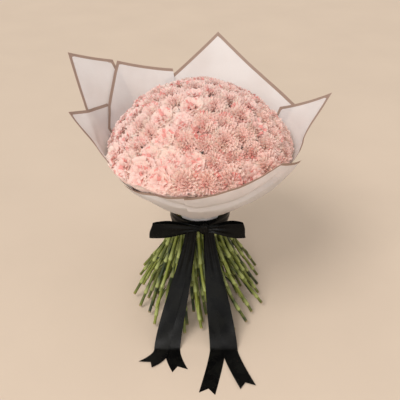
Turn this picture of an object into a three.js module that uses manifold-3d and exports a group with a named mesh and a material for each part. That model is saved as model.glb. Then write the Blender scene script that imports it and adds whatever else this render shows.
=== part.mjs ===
// A hand-tied bunch of carnations in paper, standing on its cut stems. Millimetres, +Z up.
// Everything is laid out round the bunch's own upright axis, with the table at z = 0. At the end the whole
// bunch is moved so that the origin is the middle of its footprint box.
import * as THREE from 'three';
import Module from 'manifold-3d';
import { mergeVertices } from 'three/addons/utils/BufferGeometryUtils.js';

const wasm = await Module();
wasm.setup();

// ---- Driving dimensions -------------------------------------------------------------------------------
const GAP = 0.5; // between pieces that lie face to face

// Flowers: rings of carnations on a dome. Every ring holds whole trios.
const RING_COUNTS = [3, 9, 15, 21, 24, 27];
const TRIO = 3;
const FIRST_RING_ANGLE = 6.8; // degrees from the top
const RING_STEP_ANGLE = 11.3;
const RING_TURN = 137.5; // each ring starts at a new angle
const HEAD_R = 22.2; // half the width of one head
const HEAD_CLEARANCE = 1.1; // between heads of different trios
const CALYX_DROP = 34; // from the widest part of a head down to its stem
const CALYX_R = 4.8;
const TOP_R = 14; // flat middle of a head
const TOP_RISE = 22; // from the widest part up to it
const BRIDGE_R = 8; // where the petals of neighbours in a trio interlock
const DOME_RISE = 101; // from the tie up to the centre of the dome's sphere

// Stems
const STEM_R = 3.5;
const STEM_CLEARANCE = 4.3; // between rings of stems at the tie
const NECK_FIRST_R = 5.2; // the innermost ring of stems at the tie
const SIDES = 5; // of a stem and of the head on it
const NECK_Z = 285; // height of the tie
const FOOT_R = 202; // outermost ring of cut ends
const FOOT_MID_SHARE = 0.54; // of the way from the table to the tie
const TWIST_BELOW = 24; // degrees that a stem turns from the tie to the table
const TWIST_ABOVE = 14;

// Tie under the ribbon
const TIE_CLEARANCE = 2.5;
const TIE_T = 2.6;
const TIE_H = 9;

// Wrap: paper sheets on a bowl that flares into free corners
const PAPER_T = 0.8;
const PAPER_PITCH = 3.6; // from one layer to the next at the rim
const NECK_PITCH_SHARE = 0.35; // the layers are pressed together towards the axis
const WRAP_CLEARANCE = 15.8; // from the outermost heads to the rim
const WRAP_RIM_RISE = 19; // from the outermost ring of heads up to the rim
const WRAP_NECK_RISE = 21; // from the tie up to where the bowl starts
const WRAP_BULGE = 1.5; // power of the bowl's curve
const FLARE_DROP = 30; // the flare starts this far below the rim
const FLARE_BLEND = 60;
const FLARE_SLOPE = 0.86; // outward run for each unit of rise
const HEM_TUCKED_DROP = 12; // a hem that runs under the ribbon ends this far below the tie
const HEM_FREE_RISE = 41; // a free hem ends this far above it
const HEM_PINCH = 8; // least height of the strip along a hem
const SHEET_COLUMN = 7.5; // degrees between a sheet's grid lines
const COLLAR_LAYER = 2;

// Ribbon
const RIBBON_T = 1;
const RIBBON_W = 40;
const BAND_H = 34;
const BAND_CLEARANCE = 3.8; // from the collar out to the ribbon's turn
const BAND_SIDES = 28;
const KNOT_X = 10;
const KNOT_SIZE = [28, 18, 30];
const LOOP_REACH_LEFT = 137; // from the knot's middle to the end of a loop
const LOOP_REACH_RIGHT = 105;
const LOOP_DEPTH = 16;
const LOOP_DROOP = 5;
const LOOP_STEPS = 12;
const LOOP_FULL = 0.625; // a loop has its full width from this share of its reach
const LOOP_FLARE = 6; // a loop's end is this much wider than the ribbon, seen from the front
const LOOP_SLANT = 0.2; // a loop's end leans outwards towards its lower corner
const TAIL_TOP_W = 24;
const TAIL_NOTCH = 16; // depth of the swallow-tail cut
const TAIL_LAYER = 2.4; // one tail lies over its neighbour
const TAIL_STEPS = 12;
const TAIL_RUN_STEPS = 5; // along the table
const TAIL_CLEARANCE = 16; // from the outermost cut ends to where a tail meets the table
const TAIL_TOUCH = 18; // it lies flat this far beyond that
const TAIL_TURN = 45; // and heads for its tip this far beyond
const TAIL_HANG = { share: 0.15, out: 18, drop: 90 }; // the curve's first handle, from its top
const TAIL_SWING = { share: 0.96, in: 26, rise: 40 }; // and its second, from the table

// Leaves at the neck
const LEAF_T = 0.9;
const LEAF_W = 15;
const LEAF_ROWS = 6;
const LEAF_COLUMNS = 2;
const LEAF_SPREAD = 20; // how far a leaf leans out
const LEAF_RISE = 30;
const LEAF_CURL = 1.4; // power of its lean along its length
const LEAF_OUTLINE = [0.12, 0.82]; // of half a sine wave: where the root starts, and the share it takes
const LEAF_ANGLES = [-40, -24, -8, 188, 204, 220]; // where the hem leaves the neck open

// ---- Sizes that follow ----------------------------------------------------------------------------------
const radians = THREE.MathUtils.degToRad;
const tiltOf = (ring) => FIRST_RING_ANGLE + ring * RING_STEP_ANGLE;
const LAST_TILT = radians(tiltOf(RING_COUNTS.length - 1));
// The dome is just large enough for its rings of heads, and for the heads within each ring.
const HEAD_SPHERE_R = Math.max(
  (HEAD_R + HEAD_CLEARANCE / 2) / Math.sin(radians(RING_STEP_ANGLE / 2)),
  ...RING_COUNTS.map((count, ring) => (
    (HEAD_R + HEAD_CLEARANCE / 2) / (Math.sin(radians(tiltOf(ring))) * Math.sin(Math.PI / count)))),
);
const DOME_CENTRE_Z = NECK_Z + DOME_RISE;
const neckRadius = (ring) => NECK_FIRST_R + ring * (2 * STEM_R + STEM_CLEARANCE);
const STEMS_R = neckRadius(RING_COUNTS.length - 1) + STEM_R;
const TIE_R = STEMS_R + TIE_CLEARANCE;
const WRAP_NECK_R = TIE_R + TIE_T + GAP;
const WRAP_NECK_Z = NECK_Z + WRAP_NECK_RISE;
const WRAP_RIM_R = HEAD_SPHERE_R * Math.sin(LAST_TILT) + HEAD_R + WRAP_CLEARANCE;
const WRAP_RIM_Z = DOME_CENTRE_Z + HEAD_SPHERE_R * Math.cos(LAST_TILT) + WRAP_RIM_RISE;
const FLARE_START_Z = WRAP_RIM_Z - FLARE_DROP;
const HEM_TUCKED_Z = NECK_Z - HEM_TUCKED_DROP;
const HEM_FREE_Z = NECK_Z + HEM_FREE_RISE;
const layerPitch = (radius) => (
  PAPER_PITCH * THREE.MathUtils.lerp(NECK_PITCH_SHARE, 1, Math.min(radius / WRAP_RIM_R, 1)));
const BAND_R = WRAP_NECK_R + COLLAR_LAYER * layerPitch(WRAP_NECK_R) + PAPER_T + BAND_CLEARANCE;
const knotY = -(BAND_R + RIBBON_T + GAP + KNOT_SIZE[1] / 2);

// ---- Helpers --------------------------------------------------------------------------------------------
const group = new THREE.Group();

const colour = {
  petal: 0xecb3ab, paper: 0xe9e4e6, ribbon: 0x08080a, tie: 0xb99a63, leaf: 0x33502c,
};
const finish = (hex, roughness) =>
  new THREE.MeshStandardMaterial({ color: hex, roughness, metalness: 0, side: THREE.DoubleSide });
const petalFinish = finish(colour.petal, 0.8);
const paperFinish = finish(colour.paper, 0.7);
const ribbonFinish = finish(colour.ribbon, 0.3);
const tieFinish = finish(colour.tie, 0.9);
const leafFinish = finish(colour.leaf, 0.6);

/** A point from an angle round the axis in degrees (0 is +X, -90 the front), a radius and a height. */
function polar(angle, radius, z) {
  const a = radians(angle);
  return new THREE.Vector3(radius * Math.cos(a), radius * Math.sin(a), z);
}

/** Adds a named mesh to the bunch. */
function add(name, geometry, material) {
  const mesh = new THREE.Mesh(geometry, material);
  mesh.name = name;
  group.add(mesh);
  return mesh;
}

/** A BufferGeometry from vertices and triangle indices. */
function geometryFrom(vertices, triangles) {
  const geometry = new THREE.BufferGeometry();
  const flat = vertices.flatMap((v) => [v.x, v.y, v.z]);
  geometry.setAttribute('position', new THREE.Float32BufferAttribute(flat, 3));
  geometry.setIndex(triangles);
  return geometry;
}

/** A closed tube through section rings that all have the same number of points. */
function loft(rings) {
  const sides = rings[0].length;
  const vertices = rings.flat();
  const triangles = [];
  for (let i = 0; i + 1 < rings.length; i += 1) {
    for (let j = 0; j < sides; j += 1) {
      const a = i * sides + j;
      const b = i * sides + ((j + 1) % sides);
      triangles.push(a, b, b + sides, a, b + sides, a + sides);
    }
  }
  const last = (rings.length - 1) * sides;
  for (let j = 1; j + 1 < sides; j += 1) {
    triangles.push(0, j + 1, j);
    triangles.push(last, last + j, last + j + 1);
  }
  return geometryFrom(vertices, triangles);
}

/** A thin closed sheet of even thickness on a grid of points; side 1, -1 or 0 says which way it thickens. */
function slab(rows, thickness, side) {
  const n = rows.length;
  const m = rows[0].length;
  const along = new THREE.Vector3();
  const across = new THREE.Vector3();
  const inner = [];
  const outer = [];
  const low = side === 0 ? -0.5 : Math.min(side, 0);
  for (let i = 0; i < n; i += 1) {
    for (let j = 0; j < m; j += 1) {
      along.subVectors(rows[Math.min(i + 1, n - 1)][j], rows[Math.max(i - 1, 0)][j]);
      across.subVectors(rows[i][Math.min(j + 1, m - 1)], rows[i][Math.max(j - 1, 0)]);
      const normal = new THREE.Vector3().crossVectors(across, along).normalize();
      inner.push(rows[i][j].clone().addScaledVector(normal, low * thickness));
      outer.push(rows[i][j].clone().addScaledVector(normal, (low + 1) * thickness));
    }
  }
  const count = n * m;
  const triangles = [];
  const quad = (a, b, c, d) => triangles.push(a, b, c, a, c, d);
  for (let i = 0; i + 1 < n; i += 1) {
    for (let j = 0; j + 1 < m; j += 1) {
      const a = i * m + j;
      quad(a, a + m, a + m + 1, a + 1);
      quad(a + count, a + 1 + count, a + m + 1 + count, a + m + count);
    }
  }
  const rim = [];
  for (let j = 0; j + 1 < m; j += 1) rim.push(j);
  for (let i = 0; i + 1 < n; i += 1) rim.push(i * m + m - 1);
  for (let j = m - 1; j > 0; j -= 1) rim.push((n - 1) * m + j);
  for (let i = n - 1; i > 0; i -= 1) rim.push(i * m);
  for (let k = 0; k < rim.length; k += 1) {
    const a = rim[k];
    const b = rim[(k + 1) % rim.length];
    quad(a, b, b + count, a + count);
  }
  return geometryFrom([...inner, ...outer], triangles);
}

/** A closed geometry as a solid that can be joined. */
function solidFrom(geometry) {
  const bare = geometry.clone();
  bare.deleteAttribute('normal');
  bare.deleteAttribute('uv');
  const merged = mergeVertices(bare, 1e-4);
  const vertProperties = new Float32Array(merged.attributes.position.array);
  const triVerts = new Uint32Array(merged.index.array);
  return new wasm.Manifold(new wasm.Mesh({ numProp: 3, vertProperties, triVerts }));
}

/** Joins closed geometries into one body. */
function joined(geometries) {
  const solid = geometries.map(solidFrom).reduce((whole, part) => whole.add(part));
  const mesh = solid.getMesh();
  const geometry = new THREE.BufferGeometry();
  geometry.setAttribute('position', new THREE.BufferAttribute(new Float32Array(mesh.vertProperties), 3));
  geometry.setIndex([...mesh.triVerts]);
  return geometry;
}

// ---- Carnations -----------------------------------------------------------------------------------------
/** Where one carnation stands: its ring, its angle and the tilt of its head from upright. */
function place(ring, index) {
  const angle = ring * RING_TURN + (index * 360) / RING_COUNTS[ring];
  return { ring, angle, tilt: tiltOf(ring) };
}

/** A point on a head's own axis, at a distance from the dome's centre. */
function onHeadAxis({ angle, tilt }, distance) {
  const t = radians(tilt);
  return polar(angle, distance * Math.sin(t), DOME_CENTRE_Z + distance * Math.cos(t));
}

/** A section ring round a centre, square to a direction, with one corner turned to the outside. */
function section(centre, normal, radius) {
  const side = new THREE.Vector3(-centre.y, centre.x, 0).normalize();
  side.addScaledVector(normal, -side.dot(normal)).normalize();
  const out = new THREE.Vector3().crossVectors(side, normal).normalize();
  return Array.from({ length: SIDES }, (_, k) => {
    const a = (k * 2 * Math.PI) / SIDES;
    return centre.clone()
      .addScaledVector(out, radius * Math.cos(a))
      .addScaledVector(side, radius * Math.sin(a));
  });
}

/** The middle of a stem, from the table through the tie to the calyx. */
function stemCentres(spot) {
  const neck = neckRadius(spot.ring);
  const foot = (FOOT_R * neck) / neckRadius(RING_COUNTS.length - 1);
  const calyx = onHeadAxis(spot, HEAD_SPHERE_R - CALYX_DROP);
  const calyxR = Math.hypot(calyx.x, calyx.y);
  const bendZ = DOME_CENTRE_Z + neck / Math.tan(radians(spot.tilt));
  const centres = [0, 1 - FOOT_MID_SHARE].map((up) => {
    const share = 1 - up;
    const z = NECK_Z * up;
    const r = Math.sqrt(neck ** 2 + (foot ** 2 - neck ** 2) * share ** 2);
    return polar(spot.angle + TWIST_ABOVE + TWIST_BELOW * share, r, z);
  });
  [0, 0.5, 1].forEach((t) => {
    const r = neck * (1 - t * t) + calyxR * t * t;
    const z = NECK_Z * (1 - t) ** 2 + bendZ * 2 * t * (1 - t) + calyx.z * t * t;
    centres.push(polar(spot.angle + TWIST_ABOVE * (1 - t), r, z));
  });
  return centres;
}

/** One carnation: its stem stands on the table, is gathered at the tie and bends out to its head. */
function carnation(spot) {
  const centres = stemCentres(spot);
  const calyx = centres.at(-1);
  const last = centres.length - 1;
  const upright = new THREE.Vector3(0, 0, 1);
  const headAxis = new THREE.Vector3().subVectors(calyx, new THREE.Vector3(0, 0, DOME_CENTRE_Z)).normalize();
  const rings = centres.map((centre, i) => {
    const way = new THREE.Vector3().subVectors(centres[Math.min(i + 1, last)], centres[Math.max(i - 1, 0)]);
    if (i === 0) return section(centre, upright, STEM_R);
    if (i === last) return section(centre, headAxis, CALYX_R);
    return section(centre, way.normalize(), STEM_R);
  });
  rings.push(section(onHeadAxis(spot, HEAD_SPHERE_R), headAxis, HEAD_R));
  rings.push(section(onHeadAxis(spot, HEAD_SPHERE_R + TOP_RISE), headAxis, TOP_R));
  return loft(rings);
}

/** The interlocked petals between two neighbouring heads. */
function bridge(from, to) {
  const a = onHeadAxis(from, HEAD_SPHERE_R);
  const b = onHeadAxis(to, HEAD_SPHERE_R);
  const way = new THREE.Vector3().subVectors(b, a).normalize();
  const up = new THREE.Vector3(0, 0, 1).addScaledVector(way, -way.z).normalize();
  const side = new THREE.Vector3().crossVectors(up, way);
  const corners = [[1, 0], [-0.5, 0.87], [-0.5, -0.87]];
  const rings = [a, b].map((centre) => corners.map(([u, s]) => centre.clone()
    .addScaledVector(side, u * BRIDGE_R).addScaledVector(up, s * BRIDGE_R)));
  return loft(rings);
}

/** Three neighbours of one ring whose heads have grown into each other. */
function trio(ring, first) {
  const spots = Array.from({ length: TRIO }, (_, k) => place(ring, first + k));
  const parts = spots.map(carnation);
  for (let k = 0; k + 1 < TRIO; k += 1) parts.push(bridge(spots[k], spots[k + 1]));
  return joined(parts);
}

let trioNumber = 0;
RING_COUNTS.forEach((count, ring) => {
  for (let first = 0; first < count; first += TRIO) {
    trioNumber += 1;
    add(`carnation_trio_${String(trioNumber).padStart(2, '0')}`, trio(ring, first), petalFinish);
  }
});

// ---- Paper wrap -----------------------------------------------------------------------------------------
/** Radius of the wrap at a height: a bowl up to the rim, then a flare. */
function wrapRadius(z) {
  const share = THREE.MathUtils.clamp((WRAP_RIM_Z - z) / (WRAP_RIM_Z - WRAP_NECK_Z), 0, 1);
  const bowl = WRAP_RIM_R - (WRAP_RIM_R - WRAP_NECK_R) * share ** WRAP_BULGE;
  const over = Math.max(z - FLARE_START_Z, 0);
  const bent = Math.min(over, FLARE_BLEND) ** 2 / (2 * FLARE_BLEND) + Math.max(over - FLARE_BLEND, 0);
  return bowl + FLARE_SLOPE * bent;
}

/** The angle from one direction to another, in degrees, without its sign. */
function apart(a, b) {
  return Math.abs(((a - b + 540) % 360) - 180);
}

/** A hem that is tucked under the ribbon round one direction and free elsewhere. */
function tuckedHem(middle, tucked, slope) {
  return (angle) => {
    const past = THREE.MathUtils.clamp((apart(angle, middle) - tucked) / slope, 0, 1);
    return HEM_TUCKED_Z + (HEM_FREE_Z - HEM_TUCKED_Z) * past;
  };
}

// Unrolled, the flare is flat. A straight paper edge is a straight line there.
const FLARE_HALF_ANGLE = Math.atan(FLARE_SLOPE);
const FLARE_APEX_Z = FLARE_START_Z + FLARE_BLEND / 2 - WRAP_RIM_R / FLARE_SLOPE;

/** Points along a straight paper edge from one corner to the next, without the first. */
function paperEdge([angleA, riseA, leanA = 0], [angleB, riseB, leanB = 0]) {
  const unrolled = (angle, rise) => {
    const slant = (WRAP_RIM_Z + rise - FLARE_APEX_Z) / Math.cos(FLARE_HALF_ANGLE);
    const turn = radians(angle) * Math.sin(FLARE_HALF_ANGLE);
    return new THREE.Vector2(slant * Math.cos(turn), slant * Math.sin(turn));
  };
  const a = unrolled(angleA, riseA);
  const b = unrolled(angleB, riseB);
  const middle = (angleA + angleB) / 2; // keeps the turn in the right revolution
  const count = Math.ceil(Math.abs(angleB - angleA) / SHEET_COLUMN);
  return Array.from({ length: count }, (_, k) => {
    const share = (k + 1) / count;
    const flat = new THREE.Vector2().lerpVectors(a, b, share);
    flat.rotateAround(new THREE.Vector2(), -radians(middle) * Math.sin(FLARE_HALF_ANGLE));
    const angle = middle + THREE.MathUtils.radToDeg(flat.angle() > Math.PI ? flat.angle() - 2 * Math.PI
      : flat.angle()) / Math.sin(FLARE_HALF_ANGLE);
    const rise = FLARE_APEX_Z + flat.length() * Math.cos(FLARE_HALF_ANGLE) - WRAP_RIM_Z;
    return [angle, rise, THREE.MathUtils.lerp(leanA, leanB, share)];
  });
}

/**
 * One sheet of paper. Its top edge runs straight from corner to corner; each corner is an angle, its rise
 * over the rim and how far it leans out from the wrap's own flare. rowCount is how many grid rows the sheet
 * has above the pinched strip at its hem.
 */
function sheet({ name, layer, rowCount, corners, hem }) {
  const edge = [corners[0]];
  for (let k = 0; k + 1 < corners.length; k += 1) edge.push(...paperEdge(corners[k], corners[k + 1]));
  const rows = Array.from({ length: rowCount + 1 }, (_, i) => edge.map(([angle, rise, lean = 0]) => {
    const share = Math.max(i - 1, 0) / (rowCount - 1);
    const foot = Math.max(hem(angle) + HEM_PINCH, WRAP_NECK_Z);
    const z = i === 0 ? hem(angle) : THREE.MathUtils.lerp(foot, WRAP_RIM_Z + rise, share);
    const bare = wrapRadius(z);
    return polar(angle, bare + lean * share ** 2 + layer * layerPitch(bare), z);
  }));
  add(name, slab(rows, PAPER_T, 1), paperFinish);
}

const freeHem = () => HEM_FREE_Z;
const hemBelowRim = (drop) => () => WRAP_RIM_Z - drop;
[
  { name: 'wrap_back', layer: 1.3, rowCount: 7, hem: tuckedHem(75, 30, 25),
    corners: [[24, 28], [82, 142], [111, 33]] },
  { name: 'wrap_back_left_inner', layer: 0, rowCount: 6, hem: freeHem,
    corners: [[105, 62], [133, 102], [154, 25], [165, -15]] },
  { name: 'wrap_back_left_outer', layer: 2.6, rowCount: 6, hem: freeHem,
    corners: [[134, 103], [153, 149], [170, 38]] },
  { name: 'wrap_left', layer: 1, rowCount: 6, hem: freeHem,
    corners: [[153, 28], [185, 73], [223, -48]] },
  { name: 'wrap_right', layer: 0, rowCount: 6, hem: freeHem,
    corners: [[-30, -10], [-6, 2], [7, 94], [34, 9]] },
  { name: 'wrap_collar', layer: COLLAR_LAYER, rowCount: 5, hem: tuckedHem(-90, 22, 30),
    corners: [[192, -65], [232, -70], [270, -62], [315, -40], [352, -55]] },
  { name: 'wrap_front_left', layer: 3, rowCount: 3, hem: hemBelowRim(85),
    corners: [[222, -51], [263, -25], [278, -23]] },
  { name: 'wrap_front_right', layer: 4, rowCount: 4, hem: hemBelowRim(98),
    corners: [[262, -30], [267, -25], [282, -2], [310, 38, -18], [332, -4]] },
].forEach(sheet);

// ---- Ribbon and tie -------------------------------------------------------------------------------------
/** A closed ring of rectangular section round the axis. */
function hoop(innerR, thickness, height, z) {
  const low = z - height / 2;
  const profile = [
    [innerR, low], [innerR + thickness, low], [innerR + thickness, low + height], [innerR, low + height],
    [innerR, low],
  ].map(([r, y]) => new THREE.Vector2(r, y));
  return new THREE.LatheGeometry(profile, BAND_SIDES).rotateX(Math.PI / 2);
}

add('neck_tie', hoop(TIE_R, TIE_T, TIE_H, NECK_Z), tieFinish);
add('ribbon_band', hoop(BAND_R, RIBBON_T, BAND_H, NECK_Z), ribbonFinish);

const knot = new THREE.SphereGeometry(0.5, 10, 7);
knot.scale(...KNOT_SIZE);
knot.translate(KNOT_X, knotY, NECK_Z);
add('ribbon_knot', knot, ribbonFinish);

/** A strip of ribbon along a path, with its width and the direction of its width at each point. */
function strip(points, widths, sideways, notch) {
  const last = points.length - 1;
  const rows = points.map((point, i) => [-1, 0, 1].map((s) => {
    const cut = i === last ? notch * (1 - Math.abs(s)) : 0;
    const back = new THREE.Vector3().subVectors(points[Math.max(i - 1, 0)], point);
    const spot = point.clone().addScaledVector(sideways[i], (s * widths[i]) / 2);
    return cut > 0 ? spot.addScaledVector(back.normalize(), cut) : spot;
  }));
  return slab(rows, RIBBON_T, 0);
}

/** A bow loop: out from the knot along its front leg, round its end and back along its rear leg. */
function bowLoop(name, way, reach) {
  const start = KNOT_SIZE[0] / 2 + GAP;
  const points = [];
  const widths = [];
  const sideways = [];
  for (let i = 0; i <= LOOP_STEPS; i += 1) {
    const turn = (i / LOOP_STEPS) * 2 * Math.PI; // 0 at the knot, pi at the loop's end
    const out = (1 - Math.cos(turn)) / 2;
    const swell = Math.sin(turn) * Math.sqrt(out);
    const x = KNOT_X + way * (start + (reach - start) * out);
    const y = knotY - (LOOP_DEPTH / 2 + RIBBON_T) * swell - (i < LOOP_STEPS / 2 ? 1 : -1) * RIBBON_T;
    points.push(new THREE.Vector3(x, y, NECK_Z - LOOP_DROOP * out ** 2));
    widths.push(THREE.MathUtils.lerp(TAIL_TOP_W, RIBBON_W + LOOP_FLARE, Math.min(out / LOOP_FULL, 1)));
    sideways.push(new THREE.Vector3(LOOP_SLANT * out, 0, -way).normalize());
  }
  add(name, strip(points, widths, sideways, 0), ribbonFinish);
}
bowLoop('bow_loop_left', -1, LOOP_REACH_LEFT);
bowLoop('bow_loop_right', 1, LOOP_REACH_RIGHT);

/**
 * A ribbon tail: from under the knot it hangs clear of the stems, meets the table and runs out along it.
 * top and land are how far to the side it starts and meets the table, tip is how far to the side and beyond
 * that its cut end lies, and lift is how far it is held off its neighbour.
 */
function tail(name, { top, land, tip, lift }) {
  const landY = -(FOOT_R + TAIL_CLEARANCE);
  const topZ = NECK_Z - KNOT_SIZE[2] / 2 - GAP - RIBBON_T;
  const floorZ = RIBBON_T / 2 + lift;
  const touch = new THREE.Vector3(land, landY - TAIL_TOUCH - lift, floorZ + RIBBON_T / 2);
  const end = new THREE.Vector3(tip[0], landY - tip[1], floorZ);
  const hangX = THREE.MathUtils.lerp(top, land, TAIL_HANG.share);
  const swingX = THREE.MathUtils.lerp(top, land, TAIL_SWING.share);
  const bend = new THREE.CubicBezierCurve3(
    new THREE.Vector3(top, knotY - lift, topZ),
    new THREE.Vector3(hangX, knotY - TAIL_HANG.out - lift, topZ - TAIL_HANG.drop),
    new THREE.Vector3(swingX, landY + TAIL_SWING.in - lift, floorZ + TAIL_SWING.rise),
    touch,
  );
  const turn = new THREE.Vector3(land, landY - TAIL_TURN - lift, floorZ);
  const run = new THREE.QuadraticBezierCurve3(touch, turn, end);
  const points = [...bend.getPoints(TAIL_STEPS), ...run.getPoints(TAIL_RUN_STEPS).slice(1)];
  const heading = new THREE.Vector3(tip[0] - land, -tip[1], 0).normalize();
  const across = new THREE.Vector3(-heading.y, heading.x, 0);
  const widths = points.map((_, i) => {
    const share = Math.min(i / TAIL_STEPS, 1);
    return THREE.MathUtils.lerp(TAIL_TOP_W, RIBBON_W, share);
  });
  const sideways = points.map((_, i) => {
    const share = THREE.MathUtils.smoothstep(i, TAIL_STEPS - 1, points.length - 2);
    return new THREE.Vector3(1, 0, 0).lerp(across, share).normalize();
  });
  add(name, strip(points, widths, sideways, TAIL_NOTCH), ribbonFinish);
}
tail('ribbon_tail_left_outer', { top: -26, land: -100, tip: [-140, 70], lift: TAIL_LAYER });
tail('ribbon_tail_left_inner', { top: -20, land: -72, tip: [-50, 89], lift: 0 });
tail('ribbon_tail_right_inner', { top: 20, land: 46, tip: [17, 160], lift: 0 });
tail('ribbon_tail_right_outer', { top: 24, land: 78, tip: [118, 142], lift: TAIL_LAYER });

// ---- Leaves at the neck -----------------------------------------------------------------------------------
/** The outside of the stems at a height between the tie and the heads. */
function stemsOutside(z) {
  const centres = stemCentres(place(RING_COUNTS.length - 1, 0));
  const above = centres.findIndex((centre) => centre.z > z);
  const [low, high] = [centres[above - 1], centres[above]];
  const lowR = Math.hypot(low.x, low.y);
  const lean = (Math.hypot(high.x, high.y) - lowR) / (high.z - low.z);
  return lowR + lean * (z - low.z) + STEM_R * Math.hypot(1, lean);
}

/** A narrow leaf that leans out between the ribbon's turn and the paper's hem. */
function leaf(number, angle) {
  const rootZ = NECK_Z + BAND_H / 2 + GAP;
  const rows = Array.from({ length: LEAF_ROWS }, (_, i) => {
    const t = i / (LEAF_ROWS - 1);
    const half = (LEAF_W / 2) * Math.sin(Math.PI * (LEAF_OUTLINE[0] + LEAF_OUTLINE[1] * t));
    const z = rootZ + LEAF_RISE * t;
    const r = Math.max(TIE_R + TIE_T + LEAF_SPREAD * t ** LEAF_CURL, stemsOutside(z) + LEAF_T + GAP);
    return Array.from({ length: LEAF_COLUMNS + 1 }, (_, j) => {
      const s = (2 * j) / LEAF_COLUMNS - 1;
      return polar(angle + THREE.MathUtils.radToDeg((s * half) / r), r, z);
    });
  });
  add(`leaf_${number}`, slab(rows, LEAF_T, 0), leafFinish);
}
LEAF_ANGLES.forEach((angle, i) => leaf(i + 1, angle));

// ---- The bunch in its own frame ---------------------------------------------------------------------------
group.updateMatrixWorld(true);
const box = new THREE.Box3().setFromObject(group);
const middle = box.getCenter(new THREE.Vector3());
group.position.set(-middle.x, -middle.y, -box.min.z);
group.updateMatrixWorld(true);

export default group;
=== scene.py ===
"""The looks of a hand-tied bunch of carnations in paper and black ribbon. Metres, +Z up.

The bunch stands on its cut stems. Everything is laid out round the bunch's own upright axis, which the raffia tie
gives; the rings of blooms, the bowl of the wrap and the ribbon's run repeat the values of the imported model.
"""

import logging
import math
import random
from collections.abc import Callable, Iterable, Sequence
from dataclasses import dataclass, field
from enum import Enum

import bmesh
import bpy
from mathutils import Matrix, Vector, noise


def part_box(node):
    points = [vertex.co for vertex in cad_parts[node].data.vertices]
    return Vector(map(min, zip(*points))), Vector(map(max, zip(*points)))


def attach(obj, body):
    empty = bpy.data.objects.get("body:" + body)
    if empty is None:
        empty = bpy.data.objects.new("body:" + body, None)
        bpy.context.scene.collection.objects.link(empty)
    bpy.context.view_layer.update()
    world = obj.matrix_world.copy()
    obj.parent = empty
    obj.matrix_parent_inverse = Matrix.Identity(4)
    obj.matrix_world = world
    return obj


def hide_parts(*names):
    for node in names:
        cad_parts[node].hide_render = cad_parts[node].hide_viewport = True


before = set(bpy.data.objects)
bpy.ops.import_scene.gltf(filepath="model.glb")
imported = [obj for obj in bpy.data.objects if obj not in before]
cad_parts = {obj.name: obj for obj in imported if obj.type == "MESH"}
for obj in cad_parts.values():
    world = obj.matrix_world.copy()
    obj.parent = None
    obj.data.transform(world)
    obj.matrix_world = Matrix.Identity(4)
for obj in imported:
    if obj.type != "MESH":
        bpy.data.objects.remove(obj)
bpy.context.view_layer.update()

log = logging.getLogger("bunch")
Mask = Callable[[Vector], bool]

BODY = "root"
MM = 0.001


class Slot(Enum):
    """The record's material slots."""

    PETALS = "petals"
    STEMS = "stems"
    LEAVES = "leaves"
    PAPER = "paper"
    RIBBON = "ribbon"
    TIE = "tie"


# ---- The bunch's own frame -------------------------------------------------------------------------------
def middle_of(node: str) -> Vector:
    """The middle of a CAD node's box."""
    low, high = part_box(node)
    return (low + high) / 2


TIE_MIDDLE = middle_of("neck_tie")
AXIS = Vector((TIE_MIDDLE.x, TIE_MIDDLE.y, 0))
TIE_Z = TIE_MIDDLE.z


def polar(angle: float, radius: float, z: float) -> Vector:
    """A point round the bunch's axis.

    Args:
        angle: Degrees; 0 is +X and -90 is the front.
        radius: Distance from the axis.
        z: Height over the table.

    Returns:
        The point in the frame of the part.
    """
    turn = math.radians(angle)
    return AXIS + Vector((radius * math.cos(turn), radius * math.sin(turn), z))


def lerp(low: float, high: float, share: float) -> float:
    """A value part of the way from low to high."""
    return low + (high - low) * share


def clamp(value: float, low: float = 0, high: float = 1) -> float:
    """A value held between two limits."""
    return max(low, min(high, value))


def smooth(low: float, high: float, value: float) -> float:
    """A soft step from 0 at low to 1 at high."""
    share = clamp((value - low) / (high - low))
    return share * share * (3 - 2 * share)


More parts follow.
